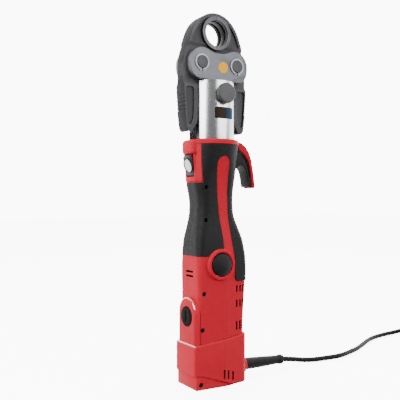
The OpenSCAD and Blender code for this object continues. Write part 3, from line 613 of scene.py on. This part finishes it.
rounded = [
    # name, node, body, finish and width of the rounded edges
    ("collarRing", "collar_ring", "housing", redPlastic, 0.5),
    ("switchBezel", "switch_bezel", "housing", redPlastic, 2.2),
    ("hookFrame", "hook_frame", "housing", redPlastic, 1.0),
    ("hookLining", "hook_lining", "housing", blackRubber, 0.8),
    ("footBase", "foot_base", "housing", redPlastic, 0.7),
    ("housingScrews", "housing_screws", "housing", blackSteelAndBoreShade, 0.25),
    ("brushCaps", "brush_caps", "housing", capPlastic, 0.7),
    ("coilTie", "coil_tie", "housing", blackPlastic, 0.3),
    ("mainsPlug", "plug", "housing", blackPlastic, 0.9),
    ("jawFork", "jaw_fork", "head", brightSteel, 0.6),
    ("frontSidePlate", "front_side_plate", "head", satinSteel, 0.7),
    ("rearSidePlate", "rear_side_plate", "head", satinSteel, 0.7),
    ("jawPins", "jaw_pins", "head", darkSteel, 0.5),
    ("retainingRings", "retaining_rings", "head", castAlloy, 0.25),
    ("jawLeverLeft", "jaw_lever_left", "lever_left", jawSteel, 0.8),
    ("jawLeverRight", "jaw_lever_right", "lever_right", jawSteel, 0.8),
    ("retainingBolt", "retaining_bolt", "bolt", satinSteel, 0.5),
    ("boltKnob", "bolt_knob", "bolt", knobPlastic, 0.8),
    ("startLever", "start_lever", "start", blackPlastic, 0.8),
    ("leverInlay", "lever_inlay", "start", silverPlastic, 0.4),
    ("oilBladder", "oil_bladder", "housing", blackRubber, 0.5),
    ("pistonSeal", "piston_seal", "ram", blackRubber, 0.3),
]
slots = {row["node"]: row["material_slot"] for row in frame["record"]["subparts"]}

footWarp = {
    "from": 4, "out": 1.03, "long": 47, "wider": 0.18, "inward": 1.3, "rightLong": 38, "rightWider": 0.22,
}
footWell = {"at": (-33, 7), "radius": 2.9, "front": -40, "back": -15, "margin": 0.3, "steep": 0.7}


def widenFoot(piece):
    # the base cover gets wider towards its left and right face, as the sleeve does
    for point in piece.data.vertices:
        along = point.co.x / mm - footWarp["from"]
        left = max(0, -along / footWarp["long"])
        right = max(0, along / footWarp["rightLong"])
        point.co.y *= footWarp["out"] + footWarp["wider"] * left + footWarp["rightWider"] * right
        point.co.x += footWarp["inward"] * left * mm


def cutWell(piece):
    cutAway(piece, [rodTool("y", footWell["at"], footWell["radius"], footWell["front"], footWell["back"])])


def paintWellShade(piece):
    # painted shade: the walls of the screw well in the base cover get the dark finish
    piece.data.materials.append(carbonAndShade)
    for face in piece.data.polygons:
        reach = math.hypot(face.center.x / mm - footWell["at"][0], face.center.z / mm - footWell["at"][1])
        if reach < footWell["radius"] + footWell["margin"] and abs(face.normal.y) < footWell["steep"]:
            face.material_index = 1


hood = {
    "low": (-40.1, -15, 313.6), "high": (-26, 15, 333.5), "edge": 4.6,
    "backLow": (-32.6, -20, 300), "backHigh": (0, 20, 340),
    "bezelLow": (-50, -20, 314.1), "bezelHigh": (-36.3, 20, 340),
}


def makeHood():
    # rounded hood over the start lever
    piece = boxTool(hood["low"], hood["high"])
    piece.name = "switchHood"
    roundEdges(piece, hood["edge"], segments=6)
    cutAway(piece, [boxTool(hood["backLow"], hood["backHigh"])])
    smooth(piece, angle=40)
    dress(piece, "housing", "red_plastic", redPlastic)


def makeRounded():
    for name, node, body, finish, edge in rounded:
        piece = copyNode(node, name)
        if node == "switch_bezel":
            cutAway(piece, [boxTool(hood["bezelLow"], hood["bezelHigh"])])  # the hood takes this place
        if node == "foot_base":
            widenFoot(piece)
            cutWell(piece)
        roundEdges(piece, edge)
        smooth(piece)
        dress(piece, body, slots[node], finish, node)
        if node == "foot_base":
            paintWellShade(piece)
        print("rounded", name, len(piece.data.polygons))


makeRounded()
makeHood()

bore = {
    "high": 480, "groove": 22, "ring": 23.4, "wall": 24.4,
    "faceLeast": 0.9, "grooveMost": 0.5, "wallMost": 0.7, "flankLeast": 0.5,
}


def paintJaws():
    # ground ring face round the bore; painted shade in the bore and on the ring wall; painted shade on the
    # flanks, which get a darker copy of the jaw steel
    for name in ("jawLeverLeft", "jawLeverRight"):
        mesh = bpy.data.objects[name].data
        for finish in (ringSteel, blackSteelAndBoreShade, flankShadeSteel):
            mesh.materials.append(finish)
        for face in mesh.polygons:
            spots = [mesh.vertices[index].co / mm for index in face.vertices]
            reach = [math.hypot(spot.x, spot.z - bore["high"]) for spot in spots]
            frontal = abs(face.normal.y)
            if max(reach) < bore["ring"] and frontal > bore["faceLeast"]:
                face.material_index = 1
            elif max(reach) < bore["groove"] and frontal < bore["grooveMost"]:
                face.material_index = 2
            elif max(reach) < bore["wall"] and frontal < bore["wallMost"]:
                face.material_index = 2
            elif min(reach) > bore["ring"] and abs(face.normal.x) > bore["flankLeast"]:
                face.material_index = 3


paintJaws()

# housing: smooth halves and grip skins drawn through the sections of the solids

housing = {
    # height with the reach to the left, to the right and to the front, and the corners' radius
    "left": [(0, 35.2), (165, 35.2), (176, 34.6), (198, 34), (211, 31.6), (230, 28.4), (245, 27.4),
             (259, 28.8), (272, 32), (290, 33.4), (305, 33.8), (318, 34.4), (330, 35)],
    "right": [(0, 37), (60, 37), (90, 37.8), (140, 41), (165, 41.4), (176, 41), (198, 37.8), (211, 33.2),
              (230, 26.2), (245, 24.8), (259, 24.6), (272, 26.4), (290, 29.4), (305, 31), (318, 33.5),
              (330, 35)],
    "half": [(0, 23.6), (110, 24), (165, 24.2), (176, 24.2), (198, 23.5), (211, 22.6), (230, 20.8),
             (245, 20.8), (259, 21), (272, 22.2), (290, 25.5), (305, 29.5), (318, 32.6), (330, 34.8)],
    "corner": [(0, 4.5), (150, 4.5), (176, 6.5), (198, 9), (211, 11), (230, 12.5), (259, 12.5), (272, 14),
               (290, 19), (305, 25), (318, 30), (330, 33)],
    "bow": [(0, 4), (140, 4), (165, 3.6), (176, 3), (198, 1.8), (211, 0.8), (230, 0), (330, 0)],
    "bowAt": 5, "low": 59.5, "high": 326.9, "slope": 0.115, "slopeFrom": -36, "wall": 2.2, "parting": 0.06,
    "lift": 1.0, "liftFrom": 128, "liftOver": 50, "leastSide": 1, "leastFront": 0.6,
    "soften": [(-6, 1), (-3, 2), (0, 3), (3, 2), (6, 1)],
    "rows": 150, "sideParts": 4, "cornerParts": 9, "frontParts": 8,
}


def lookUp(table, level):
    for (low, first), (high, second) in zip(table, table[1:]):
        if level <= high:
            part = max(0, (level - low) / (high - low))
            return first + (second - first) * part
    return table[-1][1]


def softLook(table, level, weights):
    # mean of a table's values round a level, so that the bends between its rows are soft
    total = sum(weight * lookUp(table, level + step) for step, weight in weights)
    return total / sum(weight for step, weight in weights)


def sectionLine(level, out):
    # front half of the section from the left parting line to the right one
    names = ("left", "right", "half", "corner", "bow")
    left, right, half, corner, bow = [softLook(housing[name], level, housing["soften"]) for name in names]
    corner = min(corner, half - housing["leastSide"]) + out
    left += out
    right += out
    half += out
    middle = min(housing["bowAt"], right - corner - housing["leastFront"])
    flat = half - corner
    sides = housing["sideParts"]
    fronts = housing["frontParts"]
    turns = [math.pi / 2 * part / housing["cornerParts"] for part in range(housing["cornerParts"] + 1)]
    line = [(-left, -flat * part / sides) for part in range(sides)]
    for angle in turns:
        line.append((-left + corner - corner * math.cos(angle), -flat - corner * math.sin(angle)))
    for part in range(1, fronts):
        line.append((-left + corner + (middle + left - corner) * part / fronts, -half))
    line.append((middle, -half))
    for part in range(1, fronts):
        line.append((middle + (right - corner - middle) * part / fronts, -half))
    for angle in turns:
        line.append((right - corner + corner * math.sin(angle), -flat - corner * math.cos(angle)))
    line += [(right, -flat * (sides - 1 - part) / sides) for part in range(sides)]
    bowed = []
    for x, y in line:
        tent = (x + left) / (middle + left) if x < middle else (right - x) / (right - middle)
        bowed.append((x, y - bow * tent * (-y / half)))
    return bowed


def liftAt(level):
    # the red shell comes up nearly flush with the skin where the strip runs
    part = min(1, max(0, (level - housing["liftFrom"]) / housing["liftOver"]))
    return housing["lift"] * part * part * (3 - 2 * part)


def slopeAt(x):
    # the joint between foot and housing climbs to the right
    return max(0, x - housing["slopeFrom"]) * housing["slope"]


def drawGrid(name, across, along, place):
    deselect()
    bpy.ops.mesh.primitive_grid_add(x_subdivisions=across, y_subdivisions=along, size=2)
    piece = bpy.context.object
    piece.name = name
    for point in piece.data.vertices:
        column = round((point.co.x + 1) / 2 * across)
        row = round((point.co.y + 1) / 2 * along)
        x, y, z = place(column, row)
        point.co = (x * mm, y * mm, z * mm)
    return piece


def flipFaces(piece):
    only(piece)
    bpy.ops.object.mode_set(mode="EDIT")
    bpy.ops.mesh.select_all(action="SELECT")
    bpy.ops.mesh.flip_normals()
    bpy.ops.object.mode_set(mode="OBJECT")


def thicken(piece, wall):
    step = piece.modifiers.new("wall", "SOLIDIFY")
    step.thickness = wall * mm
    step.offset = -1
    step.use_even_offset = False
    applyModifiers(piece)


# cutters end at these places, past the outer faces
outside = {"left": -60, "right": 60, "front": -40, "top": 340}
screws = {
    # x, height and seat of each
    "places": [(-22.4, 269, -14.5), (-22.4, 225, -14.5), (-28, 127, -20.6), (-30, 79, -20.2)],
    "radius": 3, "sides": 32, "inGrip": 2, "gripBack": -8,
}
shellCuts = {
    "ventColumns": (24.2, 30.2, 35.2), "ventRows": ((126, 135), (105, 115), (74, 86)), "ventHalf": 1.3,
    "ventReach": (13, 40),
    "sideSlots": (148, 154), "sideSlotHigh": 2.6, "sideSlotHalf": 9, "sideSlotReach": (-46, -25),
    "capHigh": 95, "capRadius": 13.8, "capReach": ((outside["left"], -28), (34, outside["right"])),
    "leverHalf": 13.5, "leverLow": 276.5, "leverHigh": 330, "leverBack": -22,
    "button": (-3, 165), "buttonRadius": 16.1, "ringRadius": 20.8, "buttonBack": -18, "buttonSides": 72,
    "skin": 0.5,
}


def shellTools(side):
    tools = []
    ends = sorted(side * reach for reach in shellCuts["ventReach"])
    half = shellCuts["ventHalf"]
    for column in shellCuts["ventColumns"]:
        for low, high in shellCuts["ventRows"]:
            tools.append(boxTool((column - half, ends[0], low), (column + half, ends[1], high)))
    wide = shellCuts["sideSlotHalf"]
    start, end = shellCuts["sideSlotReach"]
    for low in shellCuts["sideSlots"]:
        tools.append(boxTool((start, -wide, low), (end, wide, low + shellCuts["sideSlotHigh"])))
    for start, end in shellCuts["capReach"]:
        tools.append(rodTool("x", (0, shellCuts["capHigh"]), shellCuts["capRadius"], start, end))
    half = shellCuts["leverHalf"]
    tools.append(boxTool((outside["left"], -half, shellCuts["leverLow"]),
                         (shellCuts["leverBack"], half, shellCuts["leverHigh"])))
    if side < 0:
        tools.append(rodTool("y", shellCuts["button"], shellCuts["buttonRadius"], outside["front"],
                             shellCuts["buttonBack"], shellCuts["buttonSides"]))
        for x, z, seat in screws["places"]:
            tools.append(rodTool("y", (x, z), screws["radius"], outside["front"], seat, screws["sides"]))
    return tools


def within(line, x, y):
    # tells whether a point lies inside an outline
    inside = False
    for (x0, y0), (x1, y1) in zip(line, line[1:] + line[:1]):
        if (y0 > y) != (y1 > y) and x < x0 + (x1 - x0) * (y - y0) / (y1 - y0):
            inside = not inside
    return inside


def paintInnerShade(piece, side):
    # painted shade: what shows through slots and screw wells gets the dark finish
    piece.data.materials.append(carbonAndShade)
    for face in piece.data.polygons:
        x, y, z = [part / mm for part in face.center]
        line = sectionLine(z, liftAt(z) - shellCuts["skin"])
        if within(line, x, -side * y):
            face.material_index = 1


def makeShell(name, side, node):
    rows = housing["rows"]
    low = housing["low"]
    high = housing["high"]
    columns = len(sectionLine(low, 0)) - 1

    def place(column, row):
        level = low + (high - low) * row / rows
        bottom = low + slopeAt(sectionLine(level, 0)[column][0])
        level = bottom + (high - bottom) * row / rows
        x, y = sectionLine(level, liftAt(level))[column]
        return x, -side * (y - housing["parting"]), level

    piece = drawGrid(name, columns, rows, place)
    if side > 0:
        flipFaces(piece)
    thicken(piece, housing["wall"])
    cutAway(piece, shellTools(side))
    smooth(piece, angle=28)
    dress(piece, "housing", "red_plastic", redPlastic, node)
    paintInnerShade(piece, side)
    print("shell", name, len(piece.data.polygons))


makeShell("frontShell", -1, "front_shell")
makeShell("rearShell", 1, "rear_shell")

# grip skins: a left and a right leg on each half, joined above the red strip

grip = {
    "out": 1.5, "thick": 1.3, "top": 326.9, "join": 311.5, "joinAt": 0, "edge": 0.5,
    "stripLeft": [(170, 3), (186, 2.2), (205, 1), (225, -2), (262, -5.8), (300, -10)],
    "stripRight": [(130, 21), (165, 21), (176, 20), (195, 16), (225, 12.4), (262, 10.6), (300, 10)],
    "soften": [(-7, 1), (0, 2), (7, 1)],
    "archLow": 300, "leftLow": 176.7, "rightLow": 141, "corner": 4, "fade": 24,
    "columns": 26, "legRows": 70, "archRows": 14, "topRows": 8,
    "notchRight": -20, "notchHalf": 21.1, "notchLow": 275.4, "notchPast": 1, "notchEdge": 0.9,
    "ringGap": 0.7, "ringSides": 96,
}


def stripEdge(table, level):
    # the strip's side lines, closed by a round arch at the top
    if level <= grip["archLow"]:
        return softLook(table, level, grip["soften"])
    part = min(1, (level - grip["archLow"]) / (grip["join"] - grip["archLow"]))
    reach = math.sqrt(max(0, 1 - part * part))
    return grip["joinAt"] + (lookUp(table, grip["archLow"]) - grip["joinAt"]) * reach


def lineLengths(line):
    lengths = [0]
    for (x0, y0), (x1, y1) in zip(line, line[1:]):
        lengths.append(lengths[-1] + math.hypot(x1 - x0, y1 - y0))
    return lengths


def pointAlong(line, lengths, reach):
    # the point of a line that lies the given distance along it
    last = len(line) - 2
    index = 0
    while index < last and reach > lengths[index + 1]:
        index += 1
    part = (reach - lengths[index]) / (lengths[index + 1] - lengths[index])
    (x0, y0), (x1, y1) = line[index:index + 2]
    return x0 + (x1 - x0) * part, y0 + (y1 - y0) * part


def reachAt(line, lengths, x):
    # distance along the section to where its front passes x
    for index in range(len(line) - 1):
        if line[index][0] <= x <= line[index + 1][0]:
            part = (x - line[index][0]) / (line[index + 1][0] - line[index][0])
            return lengths[index] + (lengths[index + 1] - lengths[index]) * part
    return lengths[-1]


def gripLevels(low):
    rows = grip["legRows"]
    levels = [low + (grip["archLow"] - low) * part / rows for part in range(rows)]
    for part in range(grip["archRows"] + 1):
        angle = math.pi / 2 * part / grip["archRows"]
        levels.append(grip["archLow"] + (grip["join"] - grip["archLow"]) * math.sin(angle))
    rows = grip["topRows"]
    levels += [grip["join"] + (grip["top"] - grip["join"]) * part / rows for part in range(1, rows + 1)]
    return levels


def makeLeg(name, side, right):
    levels = gripLevels(grip["rightLow"] if right else grip["leftLow"])
    columns = grip["columns"]
    table = grip["stripRight"] if right else grip["stripLeft"]

    def place(column, row):
        level = levels[row]
        line = sectionLine(level, grip["out"])
        lengths = lineLengths(line)
        inner = reachAt(line, lengths, stripEdge(table, level))
        part = column / columns
        reach = inner + (lengths[-1] - inner) * part if right else inner * part
        if right and level < grip["rightLow"] + grip["fade"]:
            # the lower inner corner of the leg is rounded
            short = max(0, grip["corner"] - (reach - inner))
            rise = grip["corner"] - math.sqrt(grip["corner"] ** 2 - short ** 2)
            level += rise * (1 - (level - grip["rightLow"]) / grip["fade"])
        x, y = pointAlong(line, lengths, reach)
        return x, -side * (y - housing["parting"]), level

    piece = drawGrid(name, columns, len(levels) - 1, place)
    if side > 0:
        flipFaces(piece)
    return piece


def gripTools(side):
    # room for the switch bezel, the return button's ring and the upper screws
    ends = sorted((side * grip["notchHalf"], -side * grip["notchPast"]))
    notch = boxTool((outside["left"], ends[0], grip["notchLow"]),
                    (grip["notchRight"], ends[1], outside["top"]))
    roundEdges(notch, grip["notchEdge"], segments=4)
    tools = [notch]
    if side < 0:
        radius = shellCuts["ringRadius"] + grip["ringGap"]
        tools.append(rodTool("y", shellCuts["button"], radius, outside["front"], shellCuts["buttonBack"],
                             grip["ringSides"]))
        for x, z, seat in screws["places"][:screws["inGrip"]]:
            tools.append(rodTool("y", (x, z), screws["radius"], outside["front"], screws["gripBack"],
                                 screws["sides"]))
    return tools


def makeGrip(name, side, node):
    piece = joinAll([makeLeg(name, side, False), makeLeg(name + "Right", side, True)])
    mend(piece, merge=0.02, outward=False)
    thicken(piece, grip["thick"])
    roundEdges(piece, grip["edge"], segments=2, angle=50)
    cutAway(piece, gripTools(side))
    smooth(piece, angle=40)
    dress(piece, "housing", "black_rubber", blackRubber, node)
    print("grip", name, len(piece.data.polygons))


makeGrip("frontGrip", -1, "front_grip")
makeGrip("rearGrip", 1, "rear_grip")

# raised boss round the brush cap

polish = {"least": 0.2, "most": 0.97, "largest": 90}
boss = {
    "face": -40.6, "root": -33.5, "radius": 20.8, "rootHalf": 25.2, "rootBand": 1, "high": 99.8, "foot": 54,
    "edge": 2.4, "sides": 96, "holeDeep": 4, "holeSides": 72, "downLeast": 0.9,
}


def polishEdges(piece, reach):
    # the rounded upper edges shine
    piece.data.materials.append(redGloss)
    last = len(piece.data.materials) - 1
    for face in piece.data.polygons:
        turned = polish["least"] < face.normal.z < polish["most"] and face.normal.x < -polish["least"]
        if turned and face.center.x < reach * mm and face.area < polish["largest"] * mm * mm:
            face.material_index = last


def makeBoss():
    middle = (boss["face"] + boss["root"]) / 2
    deselect()
    bpy.ops.mesh.primitive_cylinder_add(
        vertices=boss["sides"], radius=boss["radius"] * mm, depth=(boss["root"] - boss["face"]) * mm,
        location=(middle * mm, 0, boss["high"] * mm), rotation=(0, math.pi / 2, 0))
    piece = bpy.context.object
    piece.name = "brushBoss"
    settle(piece)
    # the lower half of the disc gives way to a straight part down to the foot
    bpy.ops.object.mode_set(mode="EDIT")
    bpy.ops.mesh.select_all(action="SELECT")
    bpy.ops.mesh.bisect(
        plane_co=(0, 0, boss["high"] * mm), plane_no=(0, 0, 1), clear_inner=True, use_fill=True)
    bpy.ops.mesh.select_all(action="DESELECT")
    bpy.ops.object.mode_set(mode="OBJECT")
    for face in piece.data.polygons:
        face.select = face.normal.z < -boss["downLeast"]
    bpy.ops.object.mode_set(mode="EDIT")
    bpy.ops.mesh.extrude_region_move(
        TRANSFORM_OT_translate={"value": (0, 0, (boss["foot"] - boss["high"]) * mm)})
    bpy.ops.object.mode_set(mode="OBJECT")
    mend(piece, merge=0.002)
    for point in piece.data.vertices:
        if point.co.x > (boss["root"] - boss["rootBand"]) * mm:
            point.co.y *= boss["rootHalf"] / boss["radius"]
    roundEdges(piece, boss["edge"], segments=5, angle=40)
    cutAway(piece, [rodTool("x", (0, shellCuts["capHigh"]), shellCuts["capRadius"], outside["left"],
                            boss["face"] + boss["holeDeep"], boss["holeSides"])])
    smooth(piece, angle=40)
    dress(piece, "housing", "red_plastic", redPlastic)
    polishEdges(piece, boss["face"] + boss["edge"])


makeBoss()

# return button in its raised ring


def lathe(name, outline, steps=96):
    # spins an outline of (radius, height) about the Z axis
    mesh = bpy.data.meshes.new(name)
    points = [(radius * mm, 0, height * mm) for radius, height in outline]
    mesh.from_pydata(points, [(index, index + 1) for index in range(len(points) - 1)], [])
    piece = bpy.data.objects.new(name, mesh)
    bpy.context.scene.collection.objects.link(piece)
    step = piece.modifiers.new("spin", "SCREW")
    step.axis = "Z"
    step.steps = steps
    step.render_steps = steps
    step.use_merge_vertices = True
    step.merge_threshold = 0.001 * mm
    applyModifiers(piece)
    mend(piece, merge=0.001)
    return piece


def turnTo(piece, turn, at):
    # turns a spun piece and puts its start at (x, z)
    piece.rotation_euler = turn
    piece.location = (at[0] * mm, 0, at[1] * mm)
    settle(piece)


faceFront = (math.pi / 2, 0, 0)
buttonRing = {"back": 23, "front": 31, "flare": 0.8, "edge": 1.4}


def makeButtonRing():
    inner = shellCuts["buttonRadius"]
    outer = shellCuts["ringRadius"]
    front = buttonRing["front"]
    back = buttonRing["back"]
    wide = outer + buttonRing["flare"]
    outline = [(inner, back), (wide, back), (outer, front), (inner, front), (inner, back)]
    piece = lathe("buttonRing", outline)
    turnTo(piece, faceFront, shellCuts["button"])
    roundEdges(piece, buttonRing["edge"], segments=4, angle=40)
    smooth(piece, angle=40)
    dress(piece, "housing", "red_plastic", redPlastic)


makeButtonRing()

buttonCap = {
    "outline": [(0, 23.4), (15.2, 23.4), (15.2, 30.2), (15, 31), (14.4, 31.7), (13.4, 32.2), (11.5, 32.9),
                (9, 33.6), (6, 34.3), (3, 34.7), (0, 34.8)],
}


def makeButtonCap():
    piece = lathe("returnButton", buttonCap["outline"])
    turnTo(piece, faceFront, shellCuts["button"])
    smooth(piece, angle=50)
    dress(piece, "release", "black_rubber", blackRubber, "return_button")


makeButtonCap()

# foot sleeve: six sided with soft corners, cut along the wedge of the base, with a cone round the cord

foot = {
    "corners": [(-42.6, -25.2, 2.6), (4, -29.6, 9), (43, -24.8, 10),
                (43, 24.8, 10), (4, 29.6, 9), (-42.6, 25.2, 2.6)],
    "low": 0.1, "high": 59, "edge": 2.3, "parts": 8,
    "wall": 4, "middleHalf": 10, "leastCorner": 1, "innerParts": 4, "innerLow": -5, "innerHigh": 90,
    "wedge": [(-70, -5), (-70, 19.6), (-33, 19), (20, 0.6), (60, 0.6), (60, -5)], "wedgeHalf": 60,
    "slots": [(1.8, 11, 23), (8.4, 9.5, 21.5), (16.5, 7, 19)], "slotHalf": 1.3, "slotBack": -18,
    "slotsLow": (0, -28.4, 6), "slotsHigh": (18.5, -18, 24), "slotLargest": 60,
    "cordHigh": 17, "cordRadius": 6.8, "cordFrom": 30, "coneAt": 41,
    "cone": [(8.5, -2), (16.4, -2), (14.6, 1), (13.2, 4), (12, 8), (11.2, 11.4), (10.8, 12.6), (10.2, 13),
             (9.2, 13), (8.7, 12.4), (8.5, 11), (8.5, -2)],
}


def softOutline(corners, parts):
    # rounds every corner of an outline by its own radius
    line = []
    count = len(corners)
    for index, (x, y, radius) in enumerate(corners):
        here = Vector((x, y))
        before = (Vector(corners[index - 1][:2]) - here).normalized()
        after = (Vector(corners[(index + 1) % count][:2]) - here).normalized()
        half = before.angle(after) / 2
        reach = radius / math.tan(half)
        middle = here + (before + after).normalized() * radius / math.sin(half)
        first = here + before * reach - middle
        last = here + after * reach - middle
        turn = first.angle_signed(last)
        for part in range(parts + 1):
            angle = -turn * part / parts
            spot = middle + Vector((first.x * math.cos(angle) - first.y * math.sin(angle),
                                    first.x * math.sin(angle) + first.y * math.cos(angle)))
            line.append((spot.x, spot.y))
    return line


def prism(name, line, low, high):
    # upright solid on an outline, its top following the given height
    deselect()
    count = len(line)
    bpy.ops.mesh.primitive_cylinder_add(vertices=count, radius=1, depth=2)
    piece = bpy.context.object
    piece.name = name
    for point in piece.data.vertices:
        angle = math.atan2(point.co.x, point.co.y)
        x, y = line[-round(angle / (2 * math.pi) * count) % count]
        point.co = (x * mm, y * mm, (high(x) if point.co.z > 0 else low) * mm)
    return piece


def wedgeTool():
    # the wedge's outline is drawn in x and z, so the prism is laid down along y
    tool = prism("wedge", foot["wedge"], -foot["wedgeHalf"], lambda x: foot["wedgeHalf"])
    for point in tool.data.vertices:
        point.co = (point.co.x, -point.co.z, point.co.y)
    mend(tool)
    return tool


def innerCorners():
    corners = []
    wall = foot["wall"]
    for x, y, radius in foot["corners"]:
        if abs(x) > foot["middleHalf"]:
            x -= math.copysign(wall, x)
        corners.append((x, y - math.copysign(wall, y), max(foot["leastCorner"], radius - wall)))
    return corners


def paintFootShade(piece, inner):
    # painted shade: the inside and the slots' walls get the dark finish
    piece.data.materials.append(carbonAndShade)
    for face in piece.data.polygons:
        spot = [part / mm for part in face.center]
        limits = zip(foot["slotsLow"], spot, foot["slotsHigh"])
        inSlot = all(low < part < high for low, part, high in limits)
        small = face.area < foot["slotLargest"] * mm * mm
        if inSlot and small or within(inner, spot[0], spot[1]):
            face.material_index = 1


def makeFoot():
    outline = softOutline(foot["corners"], foot["parts"])
    piece = prism("footSleeve", outline, foot["low"], lambda x: foot["high"] + slopeAt(x))
    mend(piece)
    roundEdges(piece, foot["edge"], segments=4, angle=50, clamp=False)
    inner = softOutline(innerCorners(), foot["innerParts"])
    cordAt = (0, foot["cordHigh"])
    tools = [prism("cavity", inner, foot["innerLow"], lambda x: foot["innerHigh"]), wedgeTool()]
    tools.append(rodTool("x", cordAt, foot["cordRadius"], foot["cordFrom"], outside["right"]))
    half = foot["slotHalf"]
    for x, low, high in foot["slots"]:
        tools.append(boxTool((x - half, outside["front"], low), (x + half, foot["slotBack"], high)))
    for tool in tools:
        cutAway(piece, [tool])
    smooth(piece)
    dress(piece, "housing", "red_plastic", redPlastic, "foot_sleeve")
    paintFootShade(piece, inner)
    polishEdges(piece, 0)
    print("foot", len(piece.data.polygons))


def makeCone():
    cone = lathe("cordCone", foot["cone"], steps=64)
    turnTo(cone, (0, math.pi / 2, 0), (foot["coneAt"], foot["cordHigh"]))
    smooth(cone, angle=40)
    dress(cone, "housing", "red_plastic", redPlastic)


makeFoot()
makeCone()

# rubber bend sleeve with an end collar

sleeve = {
    "outline": [(0, 0), (8.4, 0), (8.4, 2), (8.3, 10), (8.1, 22), (7.6, 36), (7, 50), (6.4, 62), (6.1, 69),
                (6.7, 70), (6.9, 71), (6.9, 75.6), (6.4, 76.6), (4.8, 77), (3.9, 77), (3.9, 74), (0, 74)],
    "edge": 0.3,
}


def makeSleeve():
    piece = lathe("bendSleeve", sleeve["outline"], steps=48)
    turnTo(piece, (0, math.radians(90 + cord["sleeveTilt"]), 0), cord["sleeveAt"])
    roundEdges(piece, sleeve["edge"], segments=2, angle=50)
    smooth(piece, angle=40)
    dress(piece, "housing", "black_rubber", blackRubber, "bend_sleeve")


makeSleeve()

# dark rim round the silver inlay of the start lever

inlayRim = {
    "at": (-37.2, 298.75), "lean": -106,
    "outline": [(8.75, 0.3), (10.4, 0.3), (10.4, 1.6), (10, 2), (9.2, 2), (8.75, 1.5), (8.75, 0.3)],
}


def makeInlayRim():
    piece = lathe("inlayRim", inlayRim["outline"], steps=64)
    turnTo(piece, (0, math.radians(inlayRim["lean"]), 0), inlayRim["at"])
    smooth(piece, angle=50)
    dress(piece, "start", "black_plastic", blackPlastic)


makeInlayRim()

# plain label on the fork and a plain dot on the side plate

label = {
    "radius": 31.02, "thick": 0.35, "gap": 0.02, "low": 361.5, "high": 377, "from": -31, "to": 25.5,
    "split": -5, "edge": 0.15, "corner": 2.4, "step": 0.77, "columns": 40, "rows": 8,
}


def makeLabel():
    columns = label["columns"]
    rows = label["rows"]

    def place(column, row):
        angle = math.radians(label["to"] + (label["from"] - label["to"]) * column / columns)
        radius = label["radius"] + label["thick"]
        end = label["corner"] - min(column, columns - column) * label["step"]
        inset = label["corner"] - math.sqrt(label["corner"] ** 2 - max(0, end) ** 2)
        level = label["low"] + inset + (label["high"] - label["low"] - 2 * inset) * row / rows
        return -radius * math.sin(angle), -radius * math.cos(angle), level

    piece = drawGrid("forkLabel", columns, rows, place)
    thicken(piece, label["thick"] - label["gap"])
    roundEdges(piece, label["edge"], segments=2, angle=50)
    smooth(piece, angle=40)
    dress(piece, "head", "dark_plastic", labelFilm)
    piece.data.materials.append(labelBlue)
    for face in piece.data.polygons:
        bearing = math.degrees(math.atan2(-face.center.x, -face.center.y))
        if bearing < label["split"]:
            face.material_index = 1


makeLabel()

dot = {
    "at": (5.9, 432.4),
    "outline": [(0, 20.02), (7.6, 20.02), (7.6, 20.22), (7.48, 20.32), (6.6, 20.34), (0, 20.34)],
}


def makeDot():
    piece = lathe("plateDot", dot["outline"], steps=64)
    turnTo(piece, faceFront, dot["at"])
    smooth(piece, angle=40)
    dress(piece, "head", "dark_plastic", dotFilm)


makeDot()
print("housing, label and dot made")

# solids that stay as they are get the finish of their slot

slotFinish = {
    "red_plastic": redPlastic, "black_rubber": blackRubber, "black_plastic": blackPlastic,
    "dark_plastic": knobPlastic, "silver_plastic": silverPlastic, "cord_rubber": cordRubber,
    "dark_steel": darkSteel, "satin_steel": satinSteel, "bright_steel": brightSteel,
    "cast_alloy": castAlloy, "brass": brassMetal, "copper": copperMetal, "carbon": carbonAndShade,
    "green_board": greenBoard,
}


def finishSolids():
    for node, solid in frame["nodes"].items():
        for place in solid.material_slots:
            place.material = slotFinish[slots[node]]


finishSolids()
